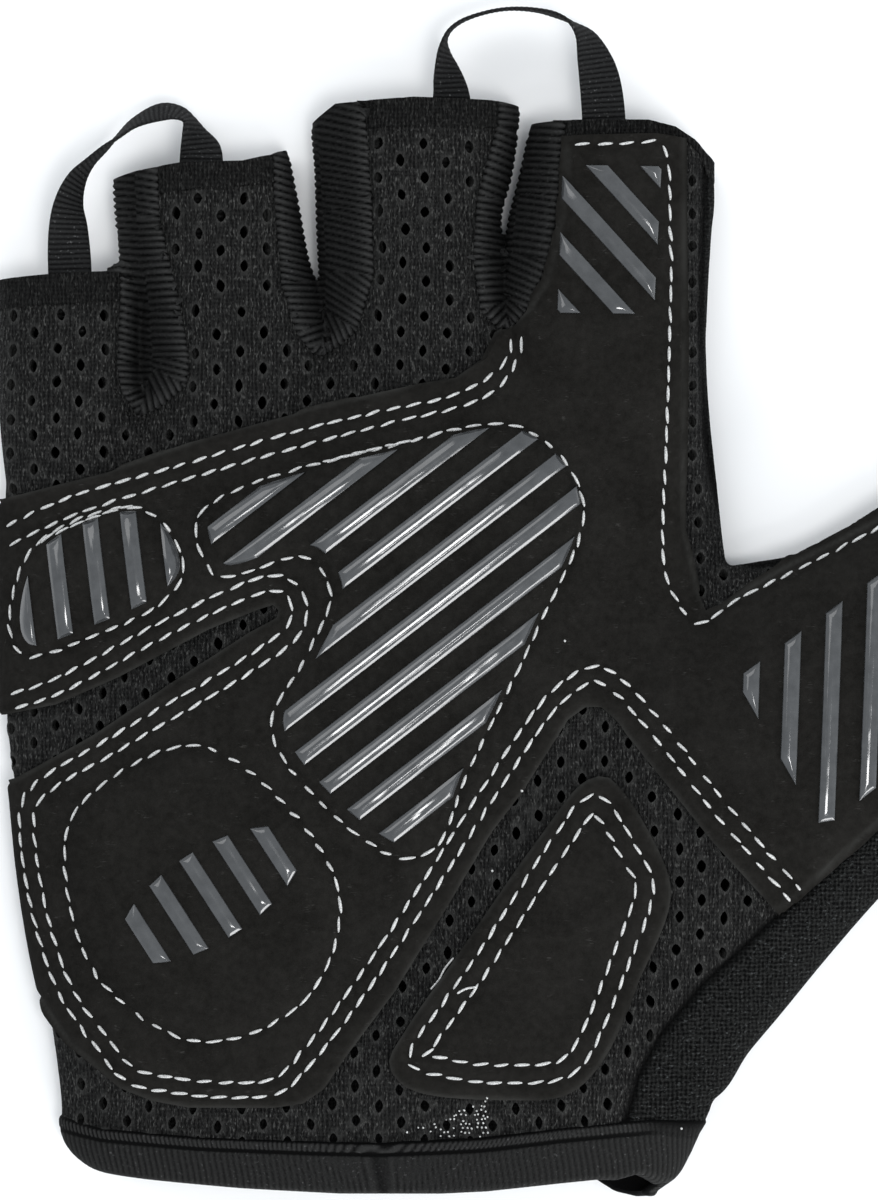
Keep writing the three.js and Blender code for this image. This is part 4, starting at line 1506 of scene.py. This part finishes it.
def capsules(name, placings, width):
    # one rounded stick, laid down at every stitch
    ball, faces = patternOf(bpy.ops.mesh.primitive_uv_sphere_add, segments=stitch["sides"],
                            ring_count=stitch["sides"], radius=0.5 * mm)
    copies = []
    for centre, along, normal, length, thickness in placings:
        side = np.cross(normal, along)
        side /= np.linalg.norm(side)
        up = np.cross(along, side)
        reach = np.sign(ball[:, 2]) * np.abs(2 * ball[:, 2]) ** stitch["blunt"]
        bow = -stitch["bow"] * reach**2 * length / stitch["length"]
        copies.append(centre + along * (reach * length / 2)[:, None]
                      + side * (ball[:, 0] * width * thickness)[:, None]
                      + up * (ball[:, 1] * width * thickness + bow)[:, None])
    piece = repeated(name, copies, faces)
    faceOutwards(piece)
    return finishPiece(piece, whiteThread, None, angle=60)


def stitchesAlong(path, closed, period, slant=1.0, thickness=1.0, shift=0.0):
    path = np.vstack([path, path[:1]]) if closed else np.asarray(path)
    steps = np.linalg.norm(np.diff(path, axis=0), axis=1)
    run = np.concatenate([[0], np.cumsum(steps)])
    count = max(1, int(round(run[-1] / period)))
    found = []
    for n in range(count):
        middle = (n + 0.5 + shift) * run[-1] / count + dice.normal(0, stitch["unevenPeriod"])
        ends = [np.array([np.interp(middle + d, run, path[:, k]) for k in (0, 1)]) for d in (-0.8, 0.8)]
        centre = (ends[0] + ends[1]) / 2
        ahead = ends[1] - ends[0]
        turned = stitch["slant"] * slant + dice.normal(0, stitch["unevenSlant"])
        turn = math.atan2(ahead[1], ahead[0]) + math.radians(turned)
        height, normal = onSuede(*centre)
        if height is None:
            continue
        normal = np.array(normal)
        along = np.array([math.cos(turn), math.sin(turn), 0])
        along -= normal * (along @ normal)
        along /= np.linalg.norm(along)
        spot = np.array([*centre, height]) + normal * stitch["lift"]
        found.append((spot, along, normal, stitch["length"] * dice.uniform(0.9, 1.07),
                      thickness * dice.uniform(0.88, 1.12)))
    return found


def makeStitches():
    onPalm, onPatch = [], []
    for name, path in stitchRows.items():
        laid = stitchesAlong(path, name in closedRows, stitch["period"])
        (onPatch if name.startswith("thenar") else onPalm).extend(laid)
    for path in backtackRows:
        onPalm.extend(stitchesAlong(spline(path, 0.5), False, stitch["period"] * stitch["tackPeriod"],
                                    -1, stitch["tackThickness"], 0.2))
    capsules("palmStitches", onPalm, stitch["width"])
    capsules("thenarStitches", onPatch, stitch["width"])
    print(len(onPalm) + len(onPatch), "stitches")


makeStitches()


# Small accidents of the worn cloth: a loose thread, lone dots, a scatter of glitter above the cuff
details = {
    "threadWidth": 0.32,
    "looseThreads": [
        [(-17.3, -54.2), (-16.2, -52.9), (-15.5, -51.5), (-14.3, -50)],
        [(-13.6, -54.7), (-12.5, -54.1), (-11.1, -53.9)],
    ],
    "dots": [
        (17.8, -74.2), (24.3, 8), (25.6, 5.6), (-8.8, -37.8), (1.3, -5.7), (-15.8, -28.2), (-4.7, -26.6),
    ],
    "dotSize": 0.34,
    "glitter": [(-24, -75), (-9.3, -75), (-9.3, -69.2), (-12.5, -70.6), (-16.5, -72.8)],
    "glitterStep": 0.62,
    "glitterSize": 0.28,
}


def topOf(x, y):
    # the highest cloth under a point, whichever piece it is
    best = None
    for ground in allGrounds:
        spot, normal = dropOn(ground, x, y)
        if spot is not None and (best is None or spot.z > best[0].z):
            best = spot, normal
    return best


allGrounds = suedeGrounds + [surfaceOf(bpy.data.objects[name])
                             for name in ("palmMeshKnit", "backStretchKnit", "cuffBinding")]


def beads(name, spots, size):
    placings = []
    for x, y in spots:
        hit = topOf(x, y)
        if hit is None or hit[1].z < 0.3:
            continue
        centre = np.array(hit[0]) / mm + (0, 0, size * 0.2)
        turn = dice.uniform(0, math.pi)
        along = np.array([math.cos(turn), math.sin(turn), 0])
        placings.append((centre, along, np.array([0, 0, 1.0]), size * dice.uniform(0.8, 1.3), 1))
    capsules(name, placings, size)


def glitterSpots():
    outline = np.array(details["glitter"])
    low, high = outline.min(0), outline.max(0)
    spots = []
    for row, y in enumerate(np.arange(low[1], high[1], details["glitterStep"])):
        for x in np.arange(low[0] + row % 2 * details["glitterStep"] / 2, high[0], details["glitterStep"]):
            share = (x - low[0]) / (high[0] - low[0])
            if dice.random() < 0.25 + 0.65 * share:
                spots.append((x + dice.normal(0, 0.1), y + dice.normal(0, 0.1)))
    spots = np.array(spots)
    return spots[inside(spots, outline)]


def makeLooseThreads():
    placings = []
    for path in details["looseThreads"]:
        fine = spline(path, 0.5)
        for start, end in zip(fine[:-1], fine[1:]):
            middle = (start + end) / 2
            hit = topOf(*middle)
            run = np.append(end - start, 0.0)
            length = np.linalg.norm(run)
            centre = np.array([*middle, hit[0].z / mm + 0.15])
            placings.append((centre, run / length, np.array([0, 0, 1.0]), length * 1.6, 1))
    capsules("looseThread", placings, details["threadWidth"])


makeLooseThreads()
beads("loneDots", details["dots"], details["dotSize"])
beads("glitterDots", glitterSpots(), details["glitterSize"])
print("details done")


# Floor, light and camera
picture = {"centre": (-16.24, 0.0), "tall": 168.0, "lens": 150.0, "level": 12.0}
sky = {"colour": (0.9, 0.95, 1, 1), "strength": 0.9}
lamps = {
    "softTop": {"place": (-0.45, 0.5, 0.7), "size": (0.8, 0.6), "power": 3},
    "keySoft": {"place": (0.1, -0.13, 0.88), "size": (0.2, 0.2), "power": 2.5},
    "keyThin": {"place": (0.28, -0.36, 0.8), "size": (0.06, 0.06), "power": 0.35},
    "lowRight": {"place": (0.5, -0.62, 0.24), "size": (0.7, 0.3), "power": 6},
}


def addLamp(name, place, size, power):
    light = bpy.data.lights.new(name, "AREA")
    light.shape = "RECTANGLE"
    light.size, light.size_y = size
    light.energy = power
    lamp = bpy.data.objects.new(name, light)
    scene.collection.objects.link(lamp)
    lamp.location = place
    lamp.rotation_euler = (-Vector(place)).to_track_quat("-Z", "Y").to_euler()


def makeFloor():
    bpy.ops.object.select_all(action="DESELECT")
    bpy.ops.mesh.primitive_plane_add(size=3)
    floor = bpy.context.object
    floor.name = "floor"
    material, tree, shader = newMaterial("whiteTable", 0.7, 0.2)
    mottle = noise(tree, placeInMm(tree), 0.02, 2)
    colour = mixed(tree, mottle, (0.86, 0.86, 0.86), (0.9, 0.9, 0.9))
    tree.links.new(colour, shader.inputs["Base Color"])
    floor.data.materials.append(material)


def makeCamera():
    camera = bpy.data.cameras.new("camera")
    camera.lens = picture["lens"]
    camera.sensor_fit = "VERTICAL"
    camera.sensor_height = 36
    camera.clip_start, camera.clip_end = 0.05, 10
    holder = bpy.data.objects.new("camera", camera)
    scene.collection.objects.link(holder)
    distance = picture["tall"] * camera.lens / camera.sensor_height + picture["level"]
    holder.location = (picture["centre"][0] * mm, picture["centre"][1] * mm, distance * mm)
    scene.camera = holder


makeFloor()
makeCamera()
world = bpy.data.worlds.new("studio")
world.use_nodes = True
background = world.node_tree.nodes["Background"]
background.inputs["Color"].default_value = sky["colour"]
background.inputs["Strength"].default_value = sky["strength"]
scene.world = world
for name, values in lamps.items():
    addLamp(name, **values)
scene.view_settings.view_transform = "Standard"

# the form and what cut it are no pieces of the glove
discard(*[o for o in bpy.data.objects if o.name.startswith(("handForm", "Circle", "punches"))])
